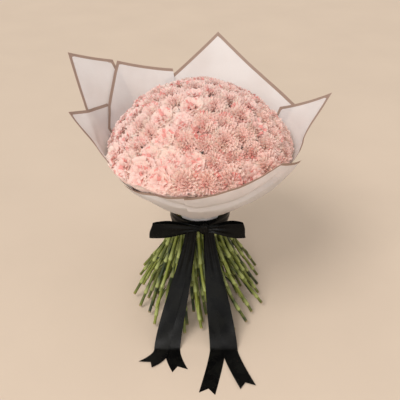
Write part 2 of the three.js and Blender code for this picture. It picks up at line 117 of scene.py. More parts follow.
# ---- Bench: how pieces are made --------------------------------------------------------------------------
class Bench:
    """Short calls round Blender's own tools, for one piece at a time."""

    @staticmethod
    def clear() -> None:
        """Leaves object mode on and nothing selected."""
        if bpy.context.object is not None and bpy.context.object.mode != "OBJECT":
            bpy.ops.object.mode_set(mode="OBJECT")
        bpy.ops.object.select_all(action="DESELECT")

    @staticmethod
    def take(*pieces: bpy.types.Object) -> bpy.types.Object:
        """Selects only these pieces, with the first one active, and returns it."""
        Bench.clear()
        for piece in pieces:
            piece.select_set(True)
        bpy.context.view_layer.objects.active = pieces[0]
        return pieces[0]

    @staticmethod
    def named(name: str) -> bpy.types.Object:
        """Gives the piece that an add operator has just made its name."""
        piece = bpy.context.object
        piece.name = name
        piece.data.name = name
        return piece

    @staticmethod
    def pick(piece: bpy.types.Object, mask: Mask) -> None:
        """In edit mode, selects the vertices whose place passes the mask, and the faces between them."""
        mesh = bmesh.from_edit_mesh(piece.data)
        for vertex in mesh.verts:
            vertex.select_set(mask(vertex.co))
        mesh.select_mode = {"VERT"}
        mesh.select_flush_mode()
        bmesh.update_edit_mesh(piece.data)

    @staticmethod
    def grid(name: str, columns: int, rows: int) -> bpy.types.Object:
        """A flat unit grid with its corner at the origin, X across and Y along.

        Args:
            name: The piece's name.
            columns: Faces across.
            rows: Faces along.

        Returns:
            The new piece.
        """
        Bench.clear()
        bpy.ops.mesh.primitive_grid_add(x_subdivisions=columns, y_subdivisions=rows, size=1)
        piece = Bench.named(name)
        piece.data.transform(Matrix.Translation((0.5, 0.5, 0)))
        return piece

    @staticmethod
    def finish(piece: bpy.types.Object, kind: str, **settings: float | bool | str) -> None:
        """Adds a modifier with its settings and applies it."""
        Bench.take(piece)
        modifier = piece.modifiers.new(kind.title(), kind)
        for key, value in settings.items():
            setattr(modifier, key, value)
        bpy.ops.object.modifier_apply(modifier=modifier.name)

    @staticmethod
    def copied(piece: bpy.types.Object, place: Matrix) -> bpy.types.Object:
        """A copy of a piece with its own mesh, moved to a place."""
        twin = piece.copy()
        twin.data = piece.data.copy()
        twin.data.transform(place)
        bpy.context.scene.collection.objects.link(twin)
        return twin

    @staticmethod
    def join(name: str, pieces: Sequence[bpy.types.Object]) -> bpy.types.Object:
        """Joins pieces into one, under a new name."""
        Bench.take(*pieces)
        if len(pieces) > 1:
            bpy.ops.object.join()
        return Bench.named(name)

    @staticmethod
    def drop(pieces: Iterable[bpy.types.Object]) -> None:
        """Takes patterns that were only copied out of the scene."""
        for piece in pieces:
            bpy.data.objects.remove(piece, do_unlink=True)

    @staticmethod
    def smooth(piece: bpy.types.Object, angle: float = 60) -> None:
        """Shades a piece smooth, with edges sharper than the angle kept."""
        Bench.take(piece)
        bpy.ops.object.shade_smooth_by_angle(angle=math.radians(angle))

    @staticmethod
    def mark(piece: bpy.types.Object, name: str, value: Callable[[Vector], float] | float) -> None:
        """Writes a number for each vertex of a piece, which its finish reads by name."""
        layer = piece.data.attributes.get(name) or piece.data.attributes.new(name, "FLOAT", "POINT")
        for vertex, entry in zip(piece.data.vertices, layer.data):
            entry.value = value(vertex.co) if callable(value) else value

    @staticmethod
    def present(piece: bpy.types.Object, slot: Slot, finish: bpy.types.Material, *nodes: str) -> None:
        """Dresses a finished piece, hides the CAD nodes that it stands for and logs its faces.

        Args:
            piece: The piece, in place.
            slot: Its material slot in the record; not used.
            finish: Its material.
            nodes: The CAD nodes that it stands for.
        """
        piece.data.materials.clear()
        piece.data.materials.append(finish)
        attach(piece, BODY)
        if nodes:
            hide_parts(*nodes)
        log.info("%s: %d faces", piece.name, len(piece.data.polygons))


# ---- Finishes --------------------------------------------------------------------------------------------
Colour = tuple[float, float, float]
Socket = bpy.types.NodeSocket


class Recipe:
    """A material's node tree, with a short call for each kind of node that the finishes need."""

    def __init__(self, tree: bpy.types.NodeTree) -> None:
        """Starts on an emptied tree."""
        self.tree = tree
        tree.nodes.clear()

    def node(self, kind: str, **settings: object) -> bpy.types.Node:
        """A node with its settings."""
        node = self.tree.nodes.new(kind)
        for key, value in settings.items():
            setattr(node, key, value)
        return node

    def feed(self, socket: Socket, value: Socket | float | Colour) -> None:
        """Links a socket, or sets its value."""
        if isinstance(value, bpy.types.NodeSocket):
            self.tree.links.new(value, socket)
        elif isinstance(value, tuple) and len(socket.default_value) == 4:
            socket.default_value = (*value, 1)
        else:
            socket.default_value = value

    def place(self) -> Socket:
        """Object coordinates."""
        return self.node("ShaderNodeTexCoord").outputs["Object"]

    def number(self, name: str) -> Socket:
        """A number that the piece carries for each vertex."""
        return self.node("ShaderNodeAttribute", attribute_name=name).outputs["Fac"]

    def sum(self, how: str, a: Socket | float, b: Socket | float, limit: bool = False) -> Socket:
        """A Math node."""
        node = self.node("ShaderNodeMath", operation=how, use_clamp=limit)
        self.feed(node.inputs[0], a)
        self.feed(node.inputs[1], b)
        return node.outputs[0]

    def range(self, value: Socket, low: Socket | float, high: Socket | float, start: float = 0,
              end: float = 1) -> Socket:
        """A Map Range node."""
        node = self.node("ShaderNodeMapRange")
        for socket, number in zip(node.inputs, (value, low, high, start, end)):
            self.feed(socket, number)
        return node.outputs[0]

    def blend(self, share: Socket | float, a: Socket | Colour, b: Socket | Colour) -> Socket:
        """A colour part of the way from a to b."""
        node = self.node("ShaderNodeMix", data_type="RGBA")
        self.feed(node.inputs["Factor"], share)
        self.feed(node.inputs[6], a)
        self.feed(node.inputs[7], b)
        return node.outputs[2]

    def tint(self, share: Socket, colour: Socket, dye: Colour) -> Socket:
        """A colour multiplied by a dye, as far as the share says."""
        node = self.node("ShaderNodeMix", data_type="RGBA", blend_type="MULTIPLY")
        for place, value in (("Factor", share), (6, colour), (7, dye)):
            self.feed(node.inputs[place], value)
        return node.outputs[2]

    def noise(self, scale: Socket | float, detail: Socket | float, stretch: Socket | Colour = (1, 1, 1)) -> Socket:
        """Noise over the piece's own place."""
        mapping = self.node("ShaderNodeMapping")
        self.feed(mapping.inputs["Vector"], self.place())
        self.feed(mapping.inputs["Scale"], stretch)
        node = self.node("ShaderNodeTexNoise")
        self.feed(node.inputs["Vector"], mapping.outputs[0])
        self.feed(node.inputs["Scale"], scale)
        self.feed(node.inputs["Detail"], detail)
        return node.outputs["Fac"]

    def bump(self, height: Socket, strength: Socket | float, distance: Socket | float) -> Socket:
        """A normal from a height."""
        node = self.node("ShaderNodeBump")
        self.feed(node.inputs["Strength"], strength)
        self.feed(node.inputs["Distance"], distance)
        self.feed(node.inputs["Height"], height)
        return node.outputs[0]

    def effect(self, effect: "Effect", **values: float | Colour) -> bpy.types.bpy_prop_collection:
        """A shared effect with its values for this finish.

        Args:
            effect: Which effect.
            values: Its inputs by name.

        Returns:
            Its outputs.
        """
        node = self.node("ShaderNodeGroup", node_tree=effect.tree())
        for name, value in values.items():
            self.feed(node.inputs[name], value)
        return node.outputs


class Effect(Enum):
    """The surface effects that several finishes share. Each is one node group, built when it is first placed."""

    MOTTLE = ("mottle", {"Scale": 10.0, "Detail": 3.0, "Low": 0.4, "High": 0.7}, ("Mask",))
    GRAIN = ("grain", {"Scale": 200.0, "Detail": 3.0, "Stretch": (1.0, 1.0, 1.0), "Low": 0.3, "High": 0.7,
                       "Strength": 0.3, "Distance": MM}, ("Mask", "Normal"))

    def __init__(self, title: str, inputs: dict[str, float | Colour], outputs: tuple[str, ...]) -> None:
        """Names the parts."""
        self.title = title
        self.inputs = inputs
        self.outputs = outputs

    def tree(self) -> bpy.types.NodeTree:
        """The effect's node group."""
        return bpy.data.node_groups.get(self.title) or self.built()

    def built(self) -> bpy.types.NodeTree:
        """Makes the node group: noise as a mask between two limits and, for grain, as a bumped normal."""
        tree = bpy.data.node_groups.new(self.title, "ShaderNodeTree")
        for name, value in self.inputs.items():
            kind = "NodeSocketVector" if isinstance(value, tuple) else "NodeSocketFloat"
            tree.interface.new_socket(name, in_out="INPUT", socket_type=kind).default_value = value
        for name in self.outputs:
            kind = "NodeSocketVector" if name == "Normal" else "NodeSocketFloat"
            tree.interface.new_socket(name, in_out="OUTPUT", socket_type=kind)
        recipe = Recipe(tree)
        given = recipe.node("NodeGroupInput").outputs
        out = recipe.node("NodeGroupOutput").inputs
        stretch = given["Stretch"] if "Stretch" in self.inputs else (1, 1, 1)
        height = recipe.noise(given["Scale"], given["Detail"], stretch)
        recipe.feed(out["Mask"], recipe.range(height, given["Low"], given["High"]))
        if "Normal" in self.outputs:
            recipe.feed(out["Normal"], recipe.bump(height, given["Strength"], given["Distance"]))
        return tree


def new_recipe(name: str) -> tuple[bpy.types.Material, Recipe]:
    """A new material and its recipe."""
    material = bpy.data.materials.new(name)
    material.use_nodes = True
    return material, Recipe(material.node_tree)


def plate(recipe: Recipe, colour: Socket | Colour, roughness: Socket | float, normal: Socket | None = None,
          through: float = 0, **constants: float | Colour) -> None:
    """Closes a recipe with its shader and, where light comes through, a translucent share.

    Args:
        recipe: The recipe to close.
        colour: Base colour.
        roughness: Roughness.
        normal: Bumped normal.
        through: Share of the light that comes through from behind.
        constants: Other sockets of the Principled shader, with underscores for spaces.
    """
    shader = recipe.node("ShaderNodeBsdfPrincipled")
    recipe.feed(shader.inputs["Base Color"], colour)
    recipe.feed(shader.inputs["Roughness"], roughness)
    if normal is not None:
        recipe.feed(shader.inputs["Normal"], normal)
    for key, value in constants.items():
        recipe.feed(shader.inputs[key.replace("_", " ")], value)
    last = shader.outputs[0]
    if through:
        glow = recipe.node("ShaderNodeBsdfTranslucent")
        recipe.feed(glow.inputs["Color"], colour)
        mix = recipe.node("ShaderNodeMixShader")
        recipe.feed(mix.inputs[0], through)
        recipe.feed(mix.inputs[1], last)
        recipe.feed(mix.inputs[2], glow.outputs[0])
        last = mix.outputs[0]
    recipe.feed(recipe.node("ShaderNodeOutputMaterial").inputs["Surface"], last)


@dataclass(frozen=True)
class PetalFinish:
    """Soft matte petals, deeper towards the claw and paler at the fringe: partly their own colour, partly painted
    shade in the hollow of the bloom and painted light on the open fringe.
    """

    # throat is the claw's deep pink, partly painted shade in the hollow of the bloom; fringe is the pale edge,
    # partly painted light.
    throat: Colour = (0.93, 0.42, 0.38)
    rose: Colour = (0.94, 0.48, 0.45)
    blade: Colour = (0.98, 0.71, 0.65)
    fringe: Colour = (1.0, 0.83, 0.785)
    cream: Colour = (0.99, 0.9, 0.82)
    # peach is the tint of painted warm light on the blooms at the front and on the right.
    peach: Colour = (1.0, 0.94, 0.905)
    fleck_share: float = 0.12

    def material(self) -> bpy.types.Material:
        """Builds the material."""
        material, recipe = new_recipe("carnation_petal")
        reach = recipe.number("reach")
        blush = recipe.number("blush")
        low = recipe.range(reach, 0.12, 0.48)
        high = recipe.range(reach, 0.66, 0.96)
        # The paler fringe is partly painted light on the open edge of the petals.
        body = recipe.blend(high, self.blade, self.fringe)
        pale = recipe.blend(recipe.range(blush, 0.6, 0.95, 0, 0.85), body, self.cream)
        deep = recipe.blend(recipe.range(blush, 0.16, 0.04), pale, self.rose)
        # The deeper pink at the claw is partly painted shade in the hollow of the bloom.
        colour = recipe.blend(low, self.throat, deep)
        flecks = recipe.effect(Effect.MOTTLE, Scale=900, Detail=2, Low=0.5, High=0.85)["Mask"]
        colour = recipe.blend(recipe.sum("MULTIPLY", flecks, self.fleck_share), colour, self.rose)
        # Painted warm light: the blooms at the front and on the right are tinted peach.
        colour = recipe.tint(recipe.number("warm"), colour, self.peach)
        skin = recipe.effect(Effect.GRAIN, Scale=1400, Detail=2, Strength=0.2, Distance=0.4 * MM)
        rough = recipe.range(skin["Mask"], 0, 1, 0.62, 0.78)
        plate(recipe, colour, rough, skin["Normal"], through=0.42, Specular_IOR_Level=0.2)
        return material


@dataclass(frozen=True)
class StemFinish:
    """Waxy green stems with paler swollen joints and brown cut ends, their green running at random from painted
    shade to painted light.
    """

    # green is the stems' green in painted shade; lit is the same green in painted light.
    green: Colour = (0.02, 0.034, 0.01)
    lit: Colour = (0.21, 0.24, 0.035)
    sheath: Colour = (0.36, 0.4, 0.13)
    cut: Colour = (0.34, 0.25, 0.12)

    def material(self) -> bpy.types.Material:
        """Builds the material."""
        material, recipe = new_recipe("stem_green")
        patches = recipe.effect(Effect.MOTTLE, Scale=26, Low=0.42, High=0.6)["Mask"]
        tone = recipe.sum("ADD", recipe.sum("MULTIPLY", patches, 0.45), recipe.number("tone"), limit=True)
        # Painted light and shade: each stem and patch is mixed at random between the shaded and the lit green.
        colour = recipe.blend(tone, self.green, self.lit)
        colour = recipe.blend(recipe.number("joint"), colour, self.sheath)
        colour = recipe.blend(recipe.number("cut"), colour, self.cut)
        fibres = recipe.effect(Effect.GRAIN, Scale=260, Stretch=(1, 1, 0.12), Distance=0.6 * MM)
        rough = recipe.range(fibres["Mask"], 0, 1, 0.36, 0.6)
        plate(recipe, colour, rough, fibres["Normal"], Specular_IOR_Level=0.45)
        return material


@dataclass(frozen=True)
class LeafFinish:
    """Grey-green leaves with fine lengthwise veins, painted very dark with the shade under the paper's hem."""

    # Both greens carry painted shade: the leaves sit in shade under the paper's hem.
    dark: Colour = (0.012, 0.02, 0.008)
    light: Colour = (0.1, 0.12, 0.03)

    def material(self) -> bpy.types.Material:
        """Builds the material."""
        material, recipe = new_recipe("leaf_green")
        across = recipe.number("across")
        stripes = recipe.sum("SINE", recipe.sum("MULTIPLY", across, 60), 0)
        patches = recipe.effect(Effect.MOTTLE, Scale=60, Detail=4, Low=0.4, High=0.65)["Mask"]
        colour = recipe.blend(patches, self.dark, self.light)
        normal = recipe.bump(stripes, 0.4, 0.4 * MM)
        plate(recipe, colour, 0.5, normal, Specular_IOR_Level=0.25)
        return material


@dataclass(frozen=True)
class PaperFinish:
    """Matte translucent wrap, cool white, with a printed border and fine crumples."""

    white: Colour = (0.9, 0.865, 0.855)
    shade: Colour = (0.86, 0.81, 0.79)
    border: Colour = (0.52, 0.38, 0.31)
    border_w: float = 8 * MM
    crumple_share: float = 0.25

    def material(self) -> bpy.types.Material:
        """Builds the material."""
        material, recipe = new_recipe("wrap_paper")
        edge = recipe.number("edge")
        cloud = recipe.effect(Effect.MOTTLE, Scale=9)["Mask"]
        colour = recipe.blend(cloud, self.white, self.shade)
        inside = recipe.range(edge, self.border_w, self.border_w + 0.6 * MM)
        colour = recipe.blend(inside, self.border, colour)
        crumple = recipe.node("ShaderNodeTexVoronoi", feature="DISTANCE_TO_EDGE")
        recipe.feed(crumple.inputs["Vector"], recipe.place())
        recipe.feed(crumple.inputs["Scale"], 24)
        folds = recipe.range(crumple.outputs["Distance"], 0, 0.12)
        pulp = recipe.effect(Effect.GRAIN, Scale=35, Detail=4)["Mask"]
        height = recipe.sum("ADD", recipe.sum("MULTIPLY", folds, self.crumple_share), pulp)
        normal = recipe.bump(height, 0.12, 2.4 * MM)
        plate(recipe, colour, 0.5, normal, through=0.45, Specular_IOR_Level=0.3)
        return material


@dataclass(frozen=True)
class SatinFinish:
    """Black satin, woven across, with a soft shine."""

    black: Colour = (0.0025, 0.0025, 0.0025)
    bloom: Colour = (0.006, 0.006, 0.005)

    def material(self) -> bpy.types.Material:
        """Builds the material."""
        material, recipe = new_recipe("black_satin")
        along = recipe.number("along")
        across = recipe.number("across")
        warp = recipe.sum("SINE", recipe.sum("MULTIPLY", across, 9000), 0)
        weft = recipe.sum("SINE", recipe.sum("MULTIPLY", along, 7000), 0)
        weave = recipe.sum("MULTIPLY", recipe.sum("ADD", warp, weft), 0.5)
        drift = recipe.effect(Effect.MOTTLE, Scale=30)["Mask"]
        colour = recipe.blend(drift, self.black, self.bloom)
        rough = recipe.range(drift, 0, 1, 0.24, 0.34)
        normal = recipe.bump(weave, 0.08, 0.1 * MM)
        plate(recipe, colour, rough, normal, Specular_IOR_Level=0.09)
        return material


@dataclass(frozen=True)
class RaffiaFinish:
    """Dry straw-coloured raffia, in strands that run round the neck."""

    straw: Colour = (0.42, 0.3, 0.13)
    dark: Colour = (0.2, 0.13, 0.05)

    def material(self) -> bpy.types.Material:
        """Builds the material."""
        material, recipe = new_recipe("raffia")
        strands = recipe.effect(
            Effect.GRAIN, Scale=60, Detail=4, Stretch=(0.2, 0.2, 14), Low=0.35, High=0.65, Strength=0.7)
        plate(recipe, recipe.blend(strands["Mask"], self.dark, self.straw), 0.8, strands["Normal"])
        return material


@dataclass(frozen=True)
class TableFinish:
    """The plain pale floor."""

    pale: Colour = (0.66, 0.54, 0.43)
    warm: Colour = (0.634, 0.518, 0.413)

    def material(self) -> bpy.types.Material:
        """Builds the material."""
        material, recipe = new_recipe("table")
        cloud = recipe.effect(Effect.MOTTLE, Scale=3, Low=0.3)["Mask"]
        plate(recipe, recipe.blend(cloud, self.pale, self.warm), 0.9, Specular_IOR_Level=0.1)
        return material


# ---- Carnations ------------------------------------------------------------------------------------------
@dataclass(frozen=True)
class Spot:
    """Where one carnation stands."""

    ring: int
    angle: float
    tilt: float


@dataclass
class Dome:
    """The rings of carnations: where each head and each stem goes."""

    ring_counts: tuple[int, ...] = (3, 9, 15, 21, 24, 27)
    trio: int = 3
    first_tilt: float = 6.8
    tilt_step: float = 11.3
    ring_turn: float = 137.5
    head_r: float = 22.2 * MM
    head_clearance: float = 1.1 * MM
    calyx_drop: float = 34 * MM
    rise: float = 101 * MM
    stem_pitch: float = 11.3 * MM
    first_stem_r: float = 5.2 * MM
    foot_r: float = 202 * MM
    twist_below: float = 24
    twist_above: float = 14

    def __post_init__(self) -> None:
        """Works out the dome's sphere."""
        half = self.head_r + self.head_clearance / 2
        rings = [math.radians(self.first_tilt + ring * self.tilt_step) for ring in range(len(self.ring_counts))]
        needs = [half / math.sin(math.radians(self.tilt_step / 2))]
        needs += [half / (math.sin(tilt) * math.sin(math.pi / n)) for tilt, n in zip(rings, self.ring_counts)]
        self.sphere_r = max(needs)
        self.centre_z = TIE_Z + self.rise

    def trios(self) -> list[list[Spot]]:
        """The carnations in threes, in the order of the CAD nodes."""
        found = []
        for ring, count in enumerate(self.ring_counts):
            tilt = self.first_tilt + ring * self.tilt_step
            spots = [Spot(ring, ring * self.ring_turn + index * 360 / count, tilt) for index in range(count)]
            found += [spots[first:first + self.trio] for first in range(0, count, self.trio)]
        return found

    def on_axis(self, spot: Spot, distance: float) -> Vector:
        """A point on a head's own axis, at a distance from the middle of the dome's sphere."""
        tilt = math.radians(spot.tilt)
        return polar(spot.angle, distance * math.sin(tilt), self.centre_z + distance * math.cos(tilt))

    def neck_r(self, ring: int) -> float:
        """How far from the axis a ring of stems passes the tie."""
        return self.first_stem_r + ring * self.stem_pitch

    def stem_path(self, spot: Spot, trim: float, spread: float) -> list[Vector]:
        """The middle of a stem, from its cut end up through the tie to the calyx.

        Args:
            spot: The carnation.
            trim: How far over the table the stem was cut.
            spread: How far out its foot stands, as a share of the even fan.

        Returns:
            Points along the stem.
        """
        neck = self.neck_r(spot.ring)
        foot = max(self.foot_r * spread * neck / self.neck_r(len(self.ring_counts) - 1), neck)
        calyx = self.on_axis(spot, self.sphere_r - self.calyx_drop) - AXIS
        calyx_r = math.hypot(calyx.x, calyx.y)
        bend_z = self.centre_z + neck / math.tan(math.radians(spot.tilt))
        points = []
        for step in range(7):
            z = lerp(trim, TIE_Z, step / 7)
            share = 1 - z / TIE_Z
            radius = math.sqrt(neck ** 2 + (foot ** 2 - neck ** 2) * share ** 2)
            points.append(polar(spot.angle + self.twist_above + self.twist_below * share, radius, z))
        for step in range(7):
            t = step / 6
            radius = neck * (1 - t * t) + calyx_r * t * t
            z = TIE_Z * (1 - t) ** 2 + bend_z * 2 * t * (1 - t) + calyx.z * t * t
            points.append(polar(spot.angle + self.twist_above * (1 - t), radius, z))
        return points


@dataclass(frozen=True)
class Whorl:
    """One turn of petals in a bloom: how many, how long, how far each part bends outwards, and how unruly."""

    count: int
    length: float
    root_r: float
    bends: tuple[float, float, float]
    frill: float
    scatter: float


class Habit(Enum):
    """How a bloom's petals are cut: their width, the depth of their frill and the waves along their edge."""

    FRILLED = (0.72, 1.25, 3.0)
    BROAD = (1.12, 0.7, 1.8)

    def __init__(self, width: float, frill: float, waves: float) -> None:
        """Names the numbers."""
        self.width = width
        self.frill = frill
        self.waves = waves


@dataclass
class Bloom:
    """A carnation's head, built from fringed petals."""

    whorls: tuple[Whorl, ...] = (
        Whorl(12, 46 * MM, 3.0 * MM, (25, 30, 30), 0.075, 12),
        Whorl(12, 45 * MM, 3.0 * MM, (18, 28, 34), 0.085, 35),
        Whorl(12, 44 * MM, 3.5 * MM, (12, 24, 40), 0.1, 70),
        Whorl(11, 43.5 * MM, 4.5 * MM, (8, 22, 48), 0.11, 120),
        Whorl(10, 43 * MM, 4.5 * MM, (5, 20, 52), 0.115, 180),
        Whorl(8, 43 * MM, 3.0 * MM, (3, 16, 52), 0.12, 180),
    )
    columns: int = 12
    rows: tuple[float, ...] = (0, 0.5, 0.78, 1)
    widths: tuple[float, ...] = (0.12, 0.26, 0.56, 0.68)
    tooth: float = 0.035
    root_drop: float = 21 * MM
    kinds: int = 3
    unrest: float = 9
    habits: tuple[Habit, ...] = (Habit.FRILLED, Habit.FRILLED, Habit.FRILLED, Habit.BROAD, Habit.BROAD)

    def petal(self, whorl: Whorl, habit: Habit, kind: int) -> bpy.types.Object:
        """One petal, standing on its claw at the origin: Y up its length, its inner face towards +Z.

        Args:
            whorl: The whorl that it is for.
            habit: How it is cut.
            kind: Which of the whorl's petals.

        Returns:
            The petal's pattern.
        """
        piece = Bench.grid("petal", self.columns, len(self.rows) - 1)
        last = len(self.rows) - 1
        rng = random.Random(f"petal {whorl.length} {kind}")
        phase = rng.uniform(0, math.tau)
        waves = habit.waves + rng.choice((-0.4, 0, 0.4))
        widths = [width * (habit.width if row else 1) for row, width in enumerate(self.widths)]
        bpy.ops.object.mode_set(mode="EDIT")
        for row in range(last, -1, -1):
            line = row / last
            Bench.pick(piece, lambda co, line=line: abs(co.y - line) < 0.01)
            bpy.ops.transform.translate(value=(-0.5, self.rows[row] - line, 0))
            bpy.ops.transform.resize(value=(widths[row], 1, 1), center_override=(0, self.rows[row], 0))
        for column in range(self.columns + 1):
            share = column / self.columns - 0.5
            arc = -0.3 * share * share
            tooth = -self.tooth if column % 2 else 0
            frill = whorl.frill * habit.frill * math.sin(phase + waves * math.tau * share)
            for row, strength in ((last, 1), (last - 1, 0.55)):
                x, y = share * widths[row], self.rows[row]
                Bench.pick(piece, lambda co, x=x, y=y: abs(co.x - x) < 0.01 and abs(co.y - y) < 0.01)
                drop = (arc + tooth) if row == last else arc * strength
                bpy.ops.transform.translate(value=(0, drop, frill * strength))
        bpy.ops.object.mode_set(mode="OBJECT")
        Bench.mark(piece, "reach", lambda co: clamp(co.y + 0.3 * (co.x / widths[last]) ** 2))
        for row, bend in enumerate(whorl.bends):
            self.fold(piece, row, bend)
        piece.data.transform(Matrix.Scale(whorl.length, 4))
        return piece

    def fold(self, piece: bpy.types.Object, row: int, bend: float) -> None:
        """Bends all of a petal past one row outwards, about the middle of that row.

        Args:
            piece: The petal, whose grid order gives its rows.
            row: The row to bend at.
            bend: Degrees.
        """
        per_row = self.columns + 1
        vertices = piece.data.vertices
        middle = vertices[row * per_row + self.columns // 2].co
        pivot = Vector((0, middle.y, middle.z))
        turn = Matrix.Rotation(math.radians(-bend), 4, "X")
        for vertex in vertices[(row + 1) * per_row:]:
            vertex.co = pivot + turn @ (vertex.co - pivot)

    def variant(self, number: int, habit: Habit) -> bpy.types.Object:
        """One whole bloom, with its axis along +Z and its calyx mouth at the origin."""
        rng = random.Random(number)
        petals = []
        for whorl in self.whorls:
            patterns = [self.petal(whorl, habit, kind) for kind in range(self.kinds)]
            start = rng.uniform(0, math.tau)
            for index in range(whorl.count):
                turn = start + (index + rng.uniform(-0.25, 0.25)) * math.tau / whorl.count
                out = Vector((math.cos(turn), math.sin(turn), 0))
                across = Vector((out.y, -out.x, 0))
                stand = Matrix((across, Vector((0, 0, 1)), -out)).transposed().to_4x4()
                lean = Matrix.Rotation(math.radians(rng.gauss(0, self.unrest)), 4, "X")
                roll = Matrix.Rotation(math.radians(rng.gauss(0, whorl.scatter)), 4, "Y")
                size = Matrix.Scale(rng.uniform(0.92, 1.06), 4)
                place = Matrix.Translation(out * whorl.root_r) @ stand @ lean @ roll @ size
                petal = Bench.copied(rng.choice(patterns), place)
                Bench.mark(petal, "blush", rng.random())
                petals.append(petal)
            Bench.drop(patterns)
        bloom = Bench.join(f"bloom_{number}", petals)
        Bench.smooth(bloom, 80)
        return bloom


@dataclass
class Stem:
    """A carnation's stem with its swollen joints, and the calyx at its top."""

    radius: float = 4.2 * MM
    sides: int = 8
    internodes: int = 7
    swelling: float = 1.42
    swell_share: float = 0.01
    sheath_share: float = 0.05
    cut_share: float = 0.01
    calyx_r: float = 5.2 * MM
    calyx_h: float = 24 * MM
    trim: float = 11 * MM
    shifts: tuple[float, ...] = (0, 0.22, 0.45, 0.65)
    wobble: float = 3.4 * MM
    spread: tuple[float, float] = (0.86, 1.03)

    def pattern(self, shift: float) -> bpy.types.Object:
        """A straight stem one unit long, from its cut end at the origin up +Z.

        Args:
            shift: How far down its joints are moved, as a share of the distance between them.

        Returns:
            The stem.
        """
        stations = [(0.0, 1.0), (self.cut_share, 0.98)]
        for node in range(1, self.internodes):
            at = (node - shift) / self.internodes
            start = stations[-1][0]
            stations += [(lerp(start, at, 0.5), 0.94), (at - self.swell_share, 1.0), (at, self.swelling)]
            stations += [(at + self.swell_share, 1.24), (at + self.sheath_share, 1.0)]
        stations += [(0.93, 0.96), (1.0, 1.0)]
        Bench.clear()
        bpy.ops.mesh.primitive_circle_add(vertices=self.sides, radius=self.radius, fill_type="NGON")
        piece = Bench.named("stem")
        bpy.ops.object.mode_set(mode="EDIT")
        for (low, size), (high, next_size) in zip(stations, stations[1:]):
            bpy.ops.mesh.select_all(action="SELECT") if low == 0 else None
            bpy.ops.mesh.extrude_region_move(TRANSFORM_OT_translate={"value": (0, 0, high - low)})
            ratio = next_size / size
            bpy.ops.transform.resize(value=(ratio, ratio, 1), center_override=(0, 0, high))
        bpy.ops.mesh.select_all(action="SELECT")
        bpy.ops.mesh.normals_make_consistent(inside=False)
        bpy.ops.object.mode_set(mode="OBJECT")
        Bench.mark(piece, "joint", lambda co: self.sheathed(co.z, shift))
        Bench.mark(piece, "cut", lambda co: float(co.z < self.cut_share / 2))
        return piece

    def sheathed(self, z: float, shift: float) -> float:
        """How pale the straight stem is at a height: palest at a joint, fading up its leaf sheath."""
        above = (z * self.internodes + shift + 1e-3) % 1 / self.internodes
        return clamp(1 - above / self.sheath_share) if self.cut_share * 2 < z < 1 - self.cut_share else 0

    def bent(self, pattern: bpy.types.Object, path: Sequence[Vector]) -> bpy.types.Object:
        """A copy of the pattern, drawn along a path.

        Args:
            pattern: The straight stem.
            path: Points from the cut end to the calyx.

        Returns:
            The bent stem.
        """
        bpy.ops.curve.primitive_nurbs_path_add()
        guide = bpy.context.object
        guide.data.splines.clear()
        spline = guide.data.splines.new("POLY")
        spline.points.add(len(path) - 1)
        for point, spot in zip(spline.points, path):
            point.co = (*spot, 1)
        guide.data.use_stretch = True
        guide.data.use_deform_bounds = True
        piece = Bench.copied(pattern, Matrix.Identity(4))
        Bench.finish(piece, "CURVE", object=guide, deform_axis="POS_Z")
        Bench.drop([guide])
        return piece

    def calyx(self) -> bpy.types.Object:
        """The green cup that holds the petals, along +Z from the stem's end."""
        Bench.clear()
        bpy.ops.mesh.primitive_cone_add(
            vertices=10, radius1=self.radius, radius2=self.calyx_r, depth=self.calyx_h,
            location=(0, 0, self.calyx_h / 2))
        piece = Bench.named("calyx")
        bpy.ops.object.transform_apply(location=True, rotation=False, scale=False)
        bpy.ops.object.mode_set(mode="EDIT")
        bpy.ops.mesh.select_all(action="SELECT")
        bpy.ops.mesh.bisect(plane_co=(0, 0, self.calyx_h * 0.25), plane_no=(0, 0, 1))
        bpy.ops.transform.resize(value=(1.45, 1.45, 1), center_override=(0, 0, 0))
        bpy.ops.object.mode_set(mode="OBJECT")
        Bench.mark(piece, "joint", 0.25)
        Bench.mark(piece, "cut", 0.0)
        return piece


@dataclass
class Blade:
    """A narrow carnation leaf."""

    length: float = 62 * MM
    width: float = 10 * MM
    rows: int = 7
    curls: tuple[float, ...] = (6, 22, 42)

    def pattern(self, curl: float) -> bpy.types.Object:
        """A leaf along +Y from the origin with its upper face to +Z.

        Args:
            curl: How far its tip bends down, in degrees.

        Returns:
            The leaf.
        """
        piece = Bench.grid("blade", 2, self.rows)
        for vertex in piece.data.vertices:
            x, y = vertex.co.x * 2 - 1, vertex.co.y
            half = self.width / 2 * (math.sin(math.pi * (0.14 + 0.84 * y)) ** 0.7)
            turn = math.radians(curl) * y
            run = self.length * y
            radius_y = run * math.cos(turn / 2)
            vertex.co = Vector((x * half, radius_y, -run * math.sin(turn / 2) + 0.18 * self.width * abs(x)))
        Bench.mark(piece, "joint", lambda co: 0.55 * clamp(1 - 2.5 * co.y / self.length))
        Bench.mark(piece, "cut", 0.0)
        Bench.finish(piece, "SOLIDIFY", thickness=0.5 * MM, offset=-1)
        Bench.smooth(piece, 70)
        return piece


